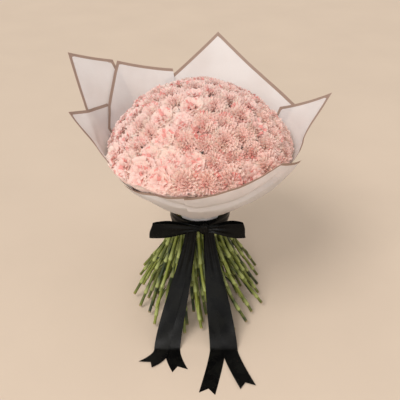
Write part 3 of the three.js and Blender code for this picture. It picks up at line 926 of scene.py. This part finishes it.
@dataclass
class Carnations:
    """All the flowers, three to a piece, with their stems and the leaves left on them."""

    dome: Dome = field(default_factory=Dome)
    bloom: Bloom = field(default_factory=Bloom)
    stem: Stem = field(default_factory=Stem)
    blade: Blade = field(default_factory=Blade)
    paper_gap: float = 4 * MM
    front_layers: float = 2.6
    front: tuple[float, float] = (204, 322)
    front_fade: float = 8
    front_growth: float = 1.2
    front_push: float = 5 * MM

    def upright(self, spot: Spot, distance: float, spin: float) -> Matrix:
        """The place of a head or calyx: +Z along the head's axis."""
        origin = self.dome.on_axis(spot, distance)
        way = self.dome.on_axis(spot, distance + 1) - origin
        turn = way.to_track_quat("Z", "Y").to_matrix().to_4x4()
        return Matrix.Translation(origin) @ turn @ Matrix.Rotation(spin, 4, "Z")

    def shaken(self, path: list[Vector], rng: random.Random) -> list[Vector]:
        """The path with small bends of a stem's own, none at its ends or at the tie."""
        seed = Vector((rng.uniform(0, 99), rng.uniform(0, 99), 0))
        moved = []
        for index, point in enumerate(path):
            free = smooth(0, 0.25, abs(index - 7) / 7) * (index != len(path) - 1)
            moved.append(point + noise.noise_vector(seed + point * 9) * self.stem.wobble * free)
        return moved

    def leaf_on(self, path: Sequence[Vector], pattern: bpy.types.Object, rng: random.Random) -> bpy.types.Object:
        """A leaf at a joint below the tie, lying up along the stem and leaning outwards."""
        index = rng.randrange(1, 5)
        root, ahead = path[index], path[index + 1]
        up = (ahead - root).normalized()
        out = Vector((root.x - AXIS.x, root.y - AXIS.y, 0)).normalized()
        along = (up + out * rng.uniform(-0.12, 0.08)).normalized()
        across = along.cross(out).normalized()
        facing = across.cross(along)
        place = Matrix((across, along, facing)).transposed().to_4x4()
        leaf = Bench.copied(pattern, Matrix.Translation(root + out * self.stem.radius) @ place)
        # The leaf's share of painted light, chosen at random.
        Bench.mark(leaf, "tone", rng.uniform(-0.2, 0.9))
        return leaf

    def warmth(self, spot: Spot) -> float:
        """How peachy a bloom is: painted warm light, tinting the blooms at the front and on the right of the dome.
        """
        turn, tilt = math.radians(spot.angle), math.radians(spot.tilt)
        return 0.05 + 0.9 * math.sin(tilt) * (0.6 * math.cos(turn) - math.sin(turn))

    def in_front(self, angle: float) -> float:
        """1 where the front sheets stand further out, fading to 0 at their sides."""
        (start, end), fade, turn = self.front, self.front_fade, angle % 360
        return smooth(start - fade, start + fade, turn) * (1 - smooth(end - fade, end + fade, turn))

    def tuck(self, flowers: bpy.types.Object) -> None:
        """Presses petals that would pass through the paper back inside its bowl."""
        wrap = Wrap()
        for vertex in flowers.data.vertices:
            away = Vector((vertex.co.x - AXIS.x, vertex.co.y - AXIS.y))
            angle = math.degrees(math.atan2(away.y, away.x)) % 360
            bare = wrap.radius(vertex.co.z)
            room = bare - self.paper_gap - wrap.folded(wrap.front_dip, angle, vertex.co.z - wrap.rim_z)
            room += self.front_layers * wrap.layer_pitch(bare) * self.in_front(angle)
            if away.length > room and vertex.co.z < wrap.rim_z:
                away *= room / away.length
                vertex.co = AXIS + Vector((away.x, away.y, vertex.co.z))

    def build(self) -> None:
        """Builds the blooms and stems of every trio."""
        blooms = {habit: [] for habit in Habit}
        for number, habit in enumerate(self.bloom.habits):
            blooms[habit].append(self.bloom.variant(number, habit))
        straight = [self.stem.pattern(shift) for shift in self.stem.shifts]
        cup = self.stem.calyx()
        blades = [self.blade.pattern(curl) for curl in self.blade.curls]
        petal_finish = PetalFinish().material()
        stem_finish = StemFinish().material()
        rng = random.Random(7)
        mouth = self.dome.sphere_r - self.bloom.root_drop
        for number, spots in enumerate(self.dome.trios(), start=1):
            node = f"carnation_trio_{number:02d}"
            heads, greens = [], []
            for spot in spots:
                rim = self.in_front(spot.angle) if spot.ring == len(self.dome.ring_counts) - 1 else 0
                place = self.upright(
                    spot, mouth + rng.uniform(-2, 2) * MM + rim * self.front_push, rng.uniform(0, math.tau))
                broad = 0.2 + 0.45 * (self.dome.on_axis(spot, mouth).x < AXIS.x - 0.03)
                habit = Habit.BROAD if rng.random() < broad else Habit.FRILLED
                size = Matrix.Scale(rng.uniform(0.98, 1.06) * lerp(1, self.front_growth, rim), 4)
                heads.append(Bench.copied(rng.choice(blooms[habit]), place @ size))
                # The bloom's share of painted warm light, by which way it faces.
                Bench.mark(heads[-1], "warm", clamp(self.warmth(spot) + rng.uniform(-0.15, 0.2)))
                trim = self.stem.radius * 1.5 + rng.uniform(0, self.stem.trim)
                path = self.shaken(self.dome.stem_path(spot, trim, rng.uniform(*self.stem.spread)), rng)
                greens.append(self.stem.bent(rng.choice(straight), path))
                # The stem's share of painted light, chosen at random.
                Bench.mark(greens[-1], "tone", rng.uniform(-0.25, 0.75))
                place = self.upright(spot, self.dome.sphere_r - self.dome.calyx_drop - 1 * MM, 0)
                greens.append(Bench.copied(cup, place))
                for _ in range(1 + (spot.ring > 2) + (spot.ring > 3)):
                    greens.append(self.leaf_on(path, rng.choice(blades), rng))
            flowers = Bench.join(f"carnation_blooms_{number:02d}", heads)
            self.tuck(flowers)
            Bench.present(flowers, Slot.PETALS, petal_finish, node)
            stems = Bench.join(f"carnation_stems_{number:02d}", greens)
            Bench.smooth(stems, 50)
            Bench.present(stems, Slot.STEMS, stem_finish, node)
        Bench.drop([bloom for kinds in blooms.values() for bloom in kinds])
        Bench.drop([*straight, cup, *blades])


# ---- Paper -----------------------------------------------------------------------------------------------
@dataclass(frozen=True)
class Corner:
    """A point of a sheet's top edge: its direction, its rise over the rim and its lean off the wrap's flare."""

    angle: float
    rise: float
    lean: float = 0


@dataclass(frozen=True)
class Crease:
    """A fold across a sheet, through points that are each a direction and a rise over the rim."""

    points: tuple[tuple[float, float], ...]
    depth: float = 5 * MM
    reach: float = 26 * MM


@dataclass(frozen=True)
class SheetPlan:
    """One sheet of the wrap."""

    name: str
    layer: float
    corners: tuple[Corner, ...]
    hem: Callable[[float], float]
    bordered: tuple[bool, bool] = (True, True)
    creases: tuple[Crease, ...] = ()
    top_bordered: bool = True


@dataclass
class Wrap:
    """The paper round the flowers: a bowl up to the rim, then free corners that flare."""

    neck_r: float = 70.8 * MM
    neck_z: float = 306 * MM
    rim_r: float = 247.07 * MM
    rim_z: float = 510.2 * MM
    bulge: float = 1.5
    flare_drop: float = 30 * MM
    flare_blend: float = 60 * MM
    flare_slope: float = 0.86
    hem_tucked_z: float = 273 * MM
    hem_free_z: float = 326 * MM
    pitch: float = 3.6 * MM
    neck_pitch_share: float = 0.35
    column: float = 1.6
    rows: int = 44
    thickness: float = 0.35 * MM
    front_dip: Crease = Crease(((236, -38), (268, -84), (290, -58), (312, -14)), 7 * MM, 17 * MM)

    def radius(self, z: float) -> float:
        """Radius of the wrap at a height."""
        share = clamp((self.rim_z - z) / (self.rim_z - self.neck_z))
        bowl = self.rim_r - (self.rim_r - self.neck_r) * share ** self.bulge
        over = max(z - self.rim_z + self.flare_drop, 0)
        bent = min(over, self.flare_blend) ** 2 / (2 * self.flare_blend) + max(over - self.flare_blend, 0)
        return bowl + self.flare_slope * bent

    def layer_pitch(self, radius: float) -> float:
        """Distance from one layer of paper to the next."""
        return self.pitch * lerp(self.neck_pitch_share, 1, min(radius / self.rim_r, 1))

    def tucked(self, middle: float, reach: float, slope: float) -> Callable[[float], float]:
        """A hem that is tucked under the ribbon round one direction and free elsewhere."""
        def hem(angle: float) -> float:
            apart = abs((angle - middle + 540) % 360 - 180)
            return lerp(self.hem_tucked_z, self.hem_free_z, clamp((apart - reach) / slope))
        return hem

    def free(self, angle: float) -> float:
        """A hem that ends above the ribbon."""
        return self.hem_free_z + 0 * angle

    def under_rim(self, drop: float) -> Callable[[float], float]:
        """A hem at a distance below the rim."""
        return lambda angle: self.rim_z - drop + 0 * angle

    def plans(self) -> list[SheetPlan]:
        """The sheets, from the back round to the front."""
        def corners(*points: tuple[float, ...]) -> tuple[Corner, ...]:
            return tuple(Corner(p[0], p[1] * MM, (p[2] if len(p) > 2 else 0) * MM) for p in points)
        return [
            SheetPlan("wrap_back", 1.3, corners((24, 28), (82, 142), (111, 33)), self.tucked(75, 30, 25)),
            SheetPlan("wrap_back_left_inner", 0, corners((105, 62), (133, 102), (154, 25), (165, -15)), self.free,
                      (False, True), (Crease(((104, 44), (122, 72), (133, 100)), 3 * MM),)),
            SheetPlan("wrap_back_left_outer", 2.6, corners((134, 103), (153, 149), (170, 38)), self.free),
            SheetPlan("wrap_left", 1, corners((153, 28), (185, 73), (223, -48)), self.free, (False, False),
                      (Crease(((170, 52), (192, 2), (220, -52)), 7 * MM, 30 * MM),)),
            SheetPlan("wrap_right", 0, corners((-30, -10), (-6, 2), (7, 94), (34, 9)), self.free, (False, True)),
            SheetPlan("wrap_collar", 2, corners((192, -65), (232, -70), (270, -62), (315, -40), (352, -55)),
                      self.tucked(-90, 22, 30), (False, False), (self.front_dip, Crease(((215, -95), (262, -128)), 3 * MM)), False),
            SheetPlan("wrap_front_left", 3, corners((222, -51), (263, -25), (278, -23)), self.under_rim(85 * MM),
                      (False, False), (self.front_dip,)),
            SheetPlan("wrap_front_right", 4,
                      corners((262, -30), (267, -25), (282, -2), (310, 38, -18), (332, -4)),
                      self.under_rim(98 * MM), (False, False), (self.front_dip,)),
        ]

    def unrolled(self, angle: float, rise: float, turn_from: float) -> Vector:
        """A point of the flare laid out flat. A straight paper edge is a straight line there."""
        half = math.atan(self.flare_slope)
        apex = self.rim_z - self.flare_drop + self.flare_blend / 2 - self.rim_r / self.flare_slope
        slant = (self.rim_z + rise - apex) / math.cos(half)
        turn = math.radians(angle - turn_from) * math.sin(half)
        return Vector((slant * math.cos(turn), slant * math.sin(turn)))

    def rise_at(self, a: Corner, b: Corner, angle: float) -> tuple[float, float]:
        """The rise and lean of the straight edge from a to b, in one direction."""
        middle = (a.angle + b.angle) / 2
        start, end = self.unrolled(a.angle, a.rise, middle), self.unrolled(b.angle, b.rise, middle)
        half = math.atan(self.flare_slope)
        turn = math.radians(angle - middle) * math.sin(half)
        ray = Vector((math.cos(turn), math.sin(turn)))
        along = end - start
        cross = ray.x * along.y - ray.y * along.x
        slant = (start.x * along.y - start.y * along.x) / cross
        share = (ray * slant - start).dot(along) / along.length_squared
        apex = self.rim_z - self.flare_drop + self.flare_blend / 2 - self.rim_r / self.flare_slope
        return apex + slant * math.cos(half) - self.rim_z, lerp(a.lean, b.lean, share)

    def edge(self, plan: SheetPlan) -> list[Corner]:
        """The top edge of a sheet, column by column."""
        found = [plan.corners[0]]
        for a, b in zip(plan.corners, plan.corners[1:]):
            count = math.ceil(abs(b.angle - a.angle) / self.column)
            for step in range(1, count + 1):
                angle = lerp(a.angle, b.angle, step / count)
                rise, lean = self.rise_at(a, b, angle)
                found.append(Corner(angle, rise, lean))
        return found

    def creased(self, angle: float, z: float, seed: int) -> float:
        """How far the paper stands off its even shape: gathers at the neck and soft buckles above."""
        low = 1 - smooth(self.neck_z, self.rim_z - 40 * MM, z)
        pleats = noise.noise(Vector((angle / 9, z * 3, seed * 7.3)))
        soft = noise.noise(Vector((angle / 26, z * 9, seed * 3.1 + 40)))
        sharp = 1 - abs(noise.noise(Vector((angle / 15 + z * 9, z * 14, seed * 5.7 + 80)))) * 2.2
        return (1.6 * low * pleats + 2.4 * soft + 0.9 * max(sharp, 0) ** 3) * MM

    def folded(self, crease: Crease, angle: float, rise: float) -> float:
        """How deep a crease is at a point of its sheet: a sharp valley with straight sides."""
        here = Vector((math.radians(angle) * self.rim_r, rise))
        spots = [Vector((math.radians(turn) * self.rim_r, up * MM)) for turn, up in crease.points]
        best = crease.reach
        for a, b in zip(spots, spots[1:]):
            along = b - a
            share = clamp((here - a).dot(along) / along.length_squared)
            best = min(best, (here - a - along * share).length)
        return crease.depth * (1 - best / crease.reach)

    def sheet(self, plan: SheetPlan, seed: int) -> bpy.types.Object:
        """One sheet, rolled onto the wrap from a flat grid.

        Args:
            plan: What the sheet is.
            seed: Which creases it gets.

        Returns:
            The sheet.
        """
        edge = self.edge(plan)
        piece = Bench.grid(plan.name + "_paper", len(edge) - 1, self.rows)
        layer = piece.data.attributes.new("edge", "FLOAT", "POINT")
        flat = [self.unrolled(corner.angle, corner.rise, edge[0].angle) for corner in edge]
        for index, vertex in enumerate(piece.data.vertices):
            column = round(vertex.co.x * (len(edge) - 1))
            corner, up = edge[column], vertex.co.y
            foot = plan.hem(corner.angle)
            z = lerp(foot, self.rim_z + corner.rise, up)
            bare = self.radius(z)
            radius = bare + corner.lean * up ** 2 + plan.layer * self.layer_pitch(bare)
            here = self.unrolled(corner.angle, z - self.rim_z, edge[0].angle)
            layer.data[index].value = self.to_edge(here, flat, plan)
            radius += self.creased(corner.angle, z, seed)
            radius -= sum(self.folded(crease, corner.angle, z - self.rim_z) for crease in plan.creases)
            vertex.co = polar(corner.angle, radius, z)
        Bench.finish(piece, "SOLIDIFY", thickness=self.thickness, offset=1)
        Bench.smooth(piece, 50)
        return piece

    def to_edge(self, here: Vector, flat: Sequence[Vector], plan: SheetPlan) -> float:
        """How far a point is from the sheet's bordered edges, measured on the flat sheet."""
        best = 1.0
        for a, b in zip(flat, flat[1:] if plan.top_bordered else ()):
            along = b - a
            share = clamp((here - a).dot(along) / along.length_squared)
            best = min(best, (here - a - along * share).length)
        for corner, wanted in ((flat[0], plan.bordered[0]), (flat[-1], plan.bordered[1])):
            if wanted:
                ray = corner.normalized()
                best = min(best, abs(here.x * ray.y - here.y * ray.x))
        return best

    def build(self) -> None:
        """Builds the sheets."""
        finish = PaperFinish().material()
        for seed, plan in enumerate(self.plans()):
            Bench.present(self.sheet(plan, seed), Slot.PAPER, finish, plan.name)


# ---- Ribbon ----------------------------------------------------------------------------------------------
@dataclass(frozen=True)
class TailPlan:
    """One ribbon tail: where it starts and meets the table, its tip beyond that, and its lift off its neighbour."""

    name: str
    top: float
    land: float
    tip: tuple[float, float]
    lift: float


@dataclass
class Bow:
    """Black satin ribbon: a turn round the neck, a knot with two loops and four tails."""

    width: float = 40 * MM
    thickness: float = 0.4 * MM
    band_r: float = 79.3 * MM
    band_h: float = 34 * MM
    knot_x: float = 10 * MM
    knot_size: tuple[float, float, float] = (28 * MM, 18 * MM, 30 * MM)
    reach_left: float = 137 * MM
    reach_right: float = 105 * MM
    loop_depth: float = 16 * MM
    loop_slant: float = 0.2
    loop_droop: float = 5 * MM
    loop_flare: float = 6 * MM
    tail_top_w: float = 24 * MM
    notch: float = 16 * MM
    foot_r: float = 202 * MM
    tail_clearance: float = 16 * MM
    tails: tuple[TailPlan, ...] = (
        TailPlan("ribbon_tail_left_outer", -26 * MM, -100 * MM, (-140 * MM, 70 * MM), 2.4 * MM),
        TailPlan("ribbon_tail_left_inner", -20 * MM, -72 * MM, (-50 * MM, 89 * MM), 0),
        TailPlan("ribbon_tail_right_inner", 20 * MM, 46 * MM, (17 * MM, 160 * MM), 0),
        TailPlan("ribbon_tail_right_outer", 24 * MM, 78 * MM, (118 * MM, 142 * MM), 2.4 * MM),
    )

    @property
    def knot_y(self) -> float:
        """How far in front of the axis the knot's middle is."""
        return -(self.band_r + 1.5 * MM + self.knot_size[1] / 2)

    def strip(self, name: str, points: Sequence[Vector], widths: Sequence[float], sideways: Sequence[Vector],
              ruck: Callable[[float, float], float], notch: float = 0) -> tuple[bpy.types.Object, float]:
        """A length of ribbon along a path.

        Args:
            name: The piece's name.
            points: The path of its middle, round the axis.
            widths: Its width at each point.
            sideways: The direction of its width at each point.
            ruck: How far it stands off its plane, from the shares along and across.
            notch: Depth of the swallow-tail cut at its end.

        Returns:
            The ribbon and the length of its path.
        """
        across_faces = 12
        last = len(points) - 1
        runs = [0.0]
        for a, b in zip(points, points[1:]):
            runs.append(runs[-1] + (b - a).length)
        piece = Bench.grid(name, across_faces, last)
        along_mark = piece.data.attributes.new("along", "FLOAT", "POINT")
        across_mark = piece.data.attributes.new("across", "FLOAT", "POINT")
        for index, vertex in enumerate(piece.data.vertices):
            row, share = round(vertex.co.y * last), vertex.co.x * 2 - 1
            way = (points[min(row + 1, last)] - points[max(row - 1, 0)]).normalized()
            face = sideways[row].cross(way).normalized()
            spot = points[row] + sideways[row] * (share * widths[row] / 2)
            ending = clamp((runs[row] - (runs[-1] - 2 * notch)) / (2 * notch)) if notch else 0
            spot -= way * (notch * (1 - abs(share)) * ending ** 2)
            spot += face * ruck(row / last, share)
            along_mark.data[index].value = runs[row]
            across_mark.data[index].value = share * self.width / 2
            vertex.co = AXIS + spot
        Bench.finish(piece, "SOLIDIFY", thickness=self.thickness, offset=0)
        Bench.smooth(piece, 60)
        return piece, runs[-1]

    def loop(self, name: str, way: int, reach: float, finish: bpy.types.Material) -> None:
        """A loop: out from the knot along its front leg, round its end and back along its rear leg."""
        start = self.knot_size[0] / 2 - 4 * MM
        steps = 56
        points, widths, sideways = [], [], []
        for step in range(steps + 1):
            turn = step / steps * math.tau
            out = (1 - math.cos(turn)) / 2
            swell = math.sin(turn) * math.sqrt(out)
            x = self.knot_x + way * (start + (reach - start) * out)
            side = 1 if step < steps / 2 else -1
            y = self.knot_y - (self.loop_depth / 2) * swell - side * 1.2 * MM
            points.append(Vector((x, y, TIE_Z - self.loop_droop * out ** 2)))
            widths.append(lerp(self.tail_top_w - 6 * MM, self.width + self.loop_flare, smooth(0, 0.75, out)))
            sideways.append(Vector((self.loop_slant * out, 0, -way)).normalized())

        def ruck(along: float, across: float) -> float:
            """Pleats that run out from the knot and die away, and a cupped edge."""
            out = (1 - math.cos(along * math.tau)) / 2
            pleats = math.sin(across * 7 + way) * (1 - out) ** 1.5
            return (2.2 * pleats + 1.6 * math.sin(across * 2.6 + 5 * along) * out) * MM

        piece, length = self.strip(name + "_satin", points, widths, sideways, ruck)
        Bench.present(piece, Slot.RIBBON, finish, name)

    def tail(self, plan: TailPlan, finish: bpy.types.Material) -> None:
        """A tail: from under the knot down clear of the stems, then out along the table."""
        land_y = -(self.foot_r + self.tail_clearance)
        top_z = TIE_Z - self.knot_size[2] / 2 + 6 * MM
        floor_z = self.thickness / 2 + plan.lift + 0.3 * MM
        touch = Vector((plan.land, land_y - 18 * MM - plan.lift, floor_z + 0.5 * MM))
        end = Vector((plan.tip[0], land_y - plan.tip[1], floor_z))
        bend = [
            Vector((plan.top, self.knot_y - plan.lift, top_z)),
            Vector((lerp(plan.top, plan.land, 0.15), self.knot_y - 18 * MM - plan.lift, top_z - 90 * MM)),
            Vector((lerp(plan.top, plan.land, 0.96), land_y + 26 * MM - plan.lift, floor_z + 40 * MM)),
            touch,
        ]
        turn = Vector((plan.land, land_y - 45 * MM - plan.lift, floor_z))
        points = [bezier(bend, step / 44) for step in range(45)]
        points += [bezier([touch, turn, end], step / 22) for step in range(1, 23)]
        heading = Vector((plan.tip[0] - plan.land, -plan.tip[1], 0)).normalized()
        flat_across = Vector((-heading.y, heading.x, 0))
        widths, sideways = [], []
        for index in range(len(points)):
            widths.append(lerp(self.tail_top_w, self.width, smooth(0, 0.45, index / len(points))))
            share = smooth(40, 58, index)
            sideways.append(Vector((1, 0, 0)).lerp(flat_across, share).normalized())
        seed = plan.top * 900

        def ruck(along: float, across: float) -> float:
            """Pleats under the knot, then slow waves while the ribbon hangs."""
            hangs = 1 - smooth(0.5, 0.66, along)
            pleats = math.sin(across * 6 + seed) * (1 - smooth(0, 0.3, along))
            slow = math.sin(along * 17 + seed) * math.cos(across * 1.4 + seed) * smooth(0.05, 0.3, along)
            return (2.0 * pleats + 1.4 * slow) * hangs * MM

        piece, length = self.strip(plan.name + "_satin", points, widths, sideways, ruck, self.notch)
        Bench.present(piece, Slot.RIBBON, finish, plan.name)

    def band(self, finish: bpy.types.Material) -> None:
        """The turn round the neck, with a few soft folds."""
        Bench.clear()
        bpy.ops.mesh.primitive_cylinder_add(
            vertices=112, radius=self.band_r, depth=self.band_h, end_fill_type="NOTHING", location=(0, 0, 0))
        piece = Bench.named("ribbon_band_satin")
        bpy.ops.object.mode_set(mode="EDIT")
        bpy.ops.mesh.select_all(action="SELECT")
        for cut in range(1, 8):
            bpy.ops.mesh.select_all(action="SELECT")
            bpy.ops.mesh.bisect(plane_co=(0, 0, self.band_h * (cut / 8 - 0.5)), plane_no=(0, 0, 1))
        bpy.ops.object.mode_set(mode="OBJECT")
        for vertex in piece.data.vertices:
            angle = math.atan2(vertex.co.y, vertex.co.x)
            fold = math.sin(vertex.co.z * 420 + 2.2 * math.sin(angle * 2)) * 1.1 * MM
            swell = 1 + (fold + 0.4 * MM * math.sin(angle * 9)) / self.band_r
            vertex.co = Vector((vertex.co.x * swell, vertex.co.y * swell, vertex.co.z))
        Bench.mark(piece, "along", lambda co: math.atan2(co.y, co.x) * self.band_r)
        Bench.mark(piece, "across", lambda co: co.z)
        piece.data.transform(Matrix.Translation(AXIS + Vector((0, 0, TIE_Z))))
        Bench.finish(piece, "SOLIDIFY", thickness=self.thickness, offset=1)
        Bench.smooth(piece, 60)
        Bench.present(piece, Slot.RIBBON, finish, "ribbon_band")

    def knot(self, finish: bpy.types.Material) -> None:
        """The knot: a short turn of ribbon drawn tight over the loops, with pleats."""
        wide, deep, tall = self.knot_size
        Bench.clear()
        bpy.ops.mesh.primitive_uv_sphere_add(segments=40, ring_count=24, radius=0.5)
        piece = Bench.named("ribbon_knot_satin")
        for vertex in piece.data.vertices:
            x, y, z = vertex.co
            pinch = 1 - 0.16 * math.cos(z * math.pi) ** 2
            pleat = 1 + 0.075 * math.sin(x * 26 + 3.2 * z)
            box = (abs(2 * x) ** 2.6 + abs(2 * y) ** 2.6 + abs(2 * z) ** 2.6) ** (-1 / 2.6)
            vertex.co = Vector((x * wide * pinch, y * deep * pleat, z * tall * pleat)) * lerp(1, box, 0.75)
        Bench.mark(piece, "along", lambda co: co.z)
        Bench.mark(piece, "across", lambda co: co.x)
        piece.data.transform(Matrix.Translation(AXIS + Vector((self.knot_x, self.knot_y, TIE_Z))))
        Bench.finish(piece, "SUBSURF", levels=1, render_levels=1)
        Bench.smooth(piece, 60)
        Bench.present(piece, Slot.RIBBON, finish, "ribbon_knot")

    def build(self) -> None:
        """Builds the ribbon's pieces."""
        finish = SatinFinish().material()
        self.band(finish)
        self.knot(finish)
        self.loop("bow_loop_left", -1, self.reach_left, finish)
        self.loop("bow_loop_right", 1, self.reach_right, finish)
        for plan in self.tails:
            self.tail(plan, finish)


def bezier(points: Sequence[Vector], share: float) -> Vector:
    """A point of the Bezier curve through control points."""
    spots = [point.copy() for point in points]
    while len(spots) > 1:
        spots = [a.lerp(b, share) for a, b in zip(spots, spots[1:])]
    return spots[0]


# ---- Leaves at the neck and the tie ----------------------------------------------------------------------
@dataclass
class Neck:
    """The raffia tie and the leaves, painted dark with the shade under the hem, that show between the ribbon and
    the paper's hem.
    """

    leaf_w: float = 15 * MM
    leaf_rise: float = 30 * MM
    leaf_spread: float = 20 * MM
    leaf_root_r: float = 70.3 * MM
    leaf_root_z: float = 303 * MM
    leaf_angles: tuple[float, ...] = (-40, -24, -8, 188, 204, 220)

    def leaf(self, number: int, angle: float, finish: bpy.types.Material) -> None:
        """One broad leaf, folded along its middle and curling out at its tip."""
        name = f"leaf_{number}"
        piece = Bench.grid(name + "_blade", 6, 14)
        for vertex in piece.data.vertices:
            across, along = vertex.co.x * 2 - 1, vertex.co.y
            half = self.leaf_w / 2 * math.sin(math.pi * (0.2 + 0.8 * along)) ** 1.2
            z = self.leaf_root_z + self.leaf_rise * along - 2 * MM * along ** 3
            radius = self.leaf_root_r + self.leaf_spread * along ** 1.4 + 1.8 * MM * abs(across) * (1 - along)
            ripple = 0.9 * MM * math.sin(along * 9 + number) * across
            vertex.co = polar(angle + math.degrees(across * half / radius), radius + ripple, z)
        Bench.mark(piece, "across", lambda co: (co - AXIS).xy.angle_signed(Vector((0, 1)), 0) * 4)
        Bench.finish(piece, "SOLIDIFY", thickness=0.6 * MM, offset=0)
        Bench.smooth(piece, 60)
        Bench.present(piece, Slot.LEAVES, finish, name)

    def build(self) -> None:
        """Builds the leaves and dresses the tie."""
        finish = LeafFinish().material()
        for number, angle in enumerate(self.leaf_angles, start=1):
            self.leaf(number, angle, finish)
        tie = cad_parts["neck_tie"]
        tie.data.materials.clear()
        tie.data.materials.append(RaffiaFinish().material())


# ---- The studio ------------------------------------------------------------------------------------------
@dataclass
class Studio:
    """Camera, floor and soft light."""

    elevation: float = 33
    distance: float = 1.6
    target_z: float = 0.315
    lens: float = 54
    sensor: float = 36

    def camera(self) -> None:
        """The camera at the viewing angle."""
        lift = math.radians(self.elevation)
        target = AXIS + Vector((0, 0, self.target_z))
        back = Vector((0, -math.cos(lift), math.sin(lift)))
        data = bpy.data.cameras.new("camera")
        data.lens = self.lens
        data.sensor_width = self.sensor
        camera = bpy.data.objects.new("camera", data)
        camera.location = target + back * self.distance
        camera.rotation_euler = (-back).to_track_quat("-Z", "Y").to_euler()
        bpy.context.scene.collection.objects.link(camera)
        bpy.context.scene.camera = camera

    def lamp(self, name: str, place: Vector, size: float, watts: float, colour: Colour) -> None:
        """A soft square lamp that faces the middle of the bunch."""
        data = bpy.data.lights.new(name, "AREA")
        data.size = size
        data.energy = watts
        data.color = colour
        light = bpy.data.objects.new(name, data)
        light.location = AXIS + place
        aim = Vector((0, 0, 0.35)) - place
        light.rotation_euler = aim.to_track_quat("-Z", "Y").to_euler()
        bpy.context.scene.collection.objects.link(light)

    def sun(self, way: Vector, softness: float, strength: float, colour: Colour) -> None:
        """The even, soft main light.

        Args:
            way: The direction that it comes from.
            softness: Its width in degrees.
            strength: Its strength.
            colour: Its colour.
        """
        data = bpy.data.lights.new("key", "SUN")
        data.angle = math.radians(softness)
        data.energy = strength
        data.color = colour
        light = bpy.data.objects.new("key", data)
        light.rotation_euler = (-way).to_track_quat("-Z", "Y").to_euler()
        bpy.context.scene.collection.objects.link(light)

    def build(self) -> None:
        """Sets up the studio."""
        self.camera()
        Bench.clear()
        bpy.ops.mesh.primitive_plane_add(size=24, location=(0, 0, 0))
        floor = Bench.named("floor")
        floor.data.materials.append(TableFinish().material())
        self.sun(Vector((-0.5, -0.55, 1)), 28, 1.55, (1, 0.97, 0.93))
        self.lamp("front_box", Vector((-0.3, -2.4, 1.6)), 0.6, 12, (1, 0.97, 0.94))
        self.lamp("low_fill", Vector((-0.3, -2.2, 0.4)), 1.3, 5, (0.95, 0.98, 1))
        world = bpy.data.worlds.new("room")
        world.use_nodes = True
        sky = world.node_tree.nodes["Background"]
        sky.inputs["Color"].default_value = (1, 0.97, 0.94, 1)
        sky.inputs["Strength"].default_value = 0.67
        scene = bpy.context.scene
        scene.world = world
        scene.view_settings.view_transform = "Standard"


def main() -> None:
    """Builds the bunch in order."""
    logging.basicConfig(level=logging.INFO, format="%(message)s")
    Studio().build()
    Carnations().build()
    Wrap().build()
    Bow().build()
    Neck().build()


if __name__ == "__main__":
    main()
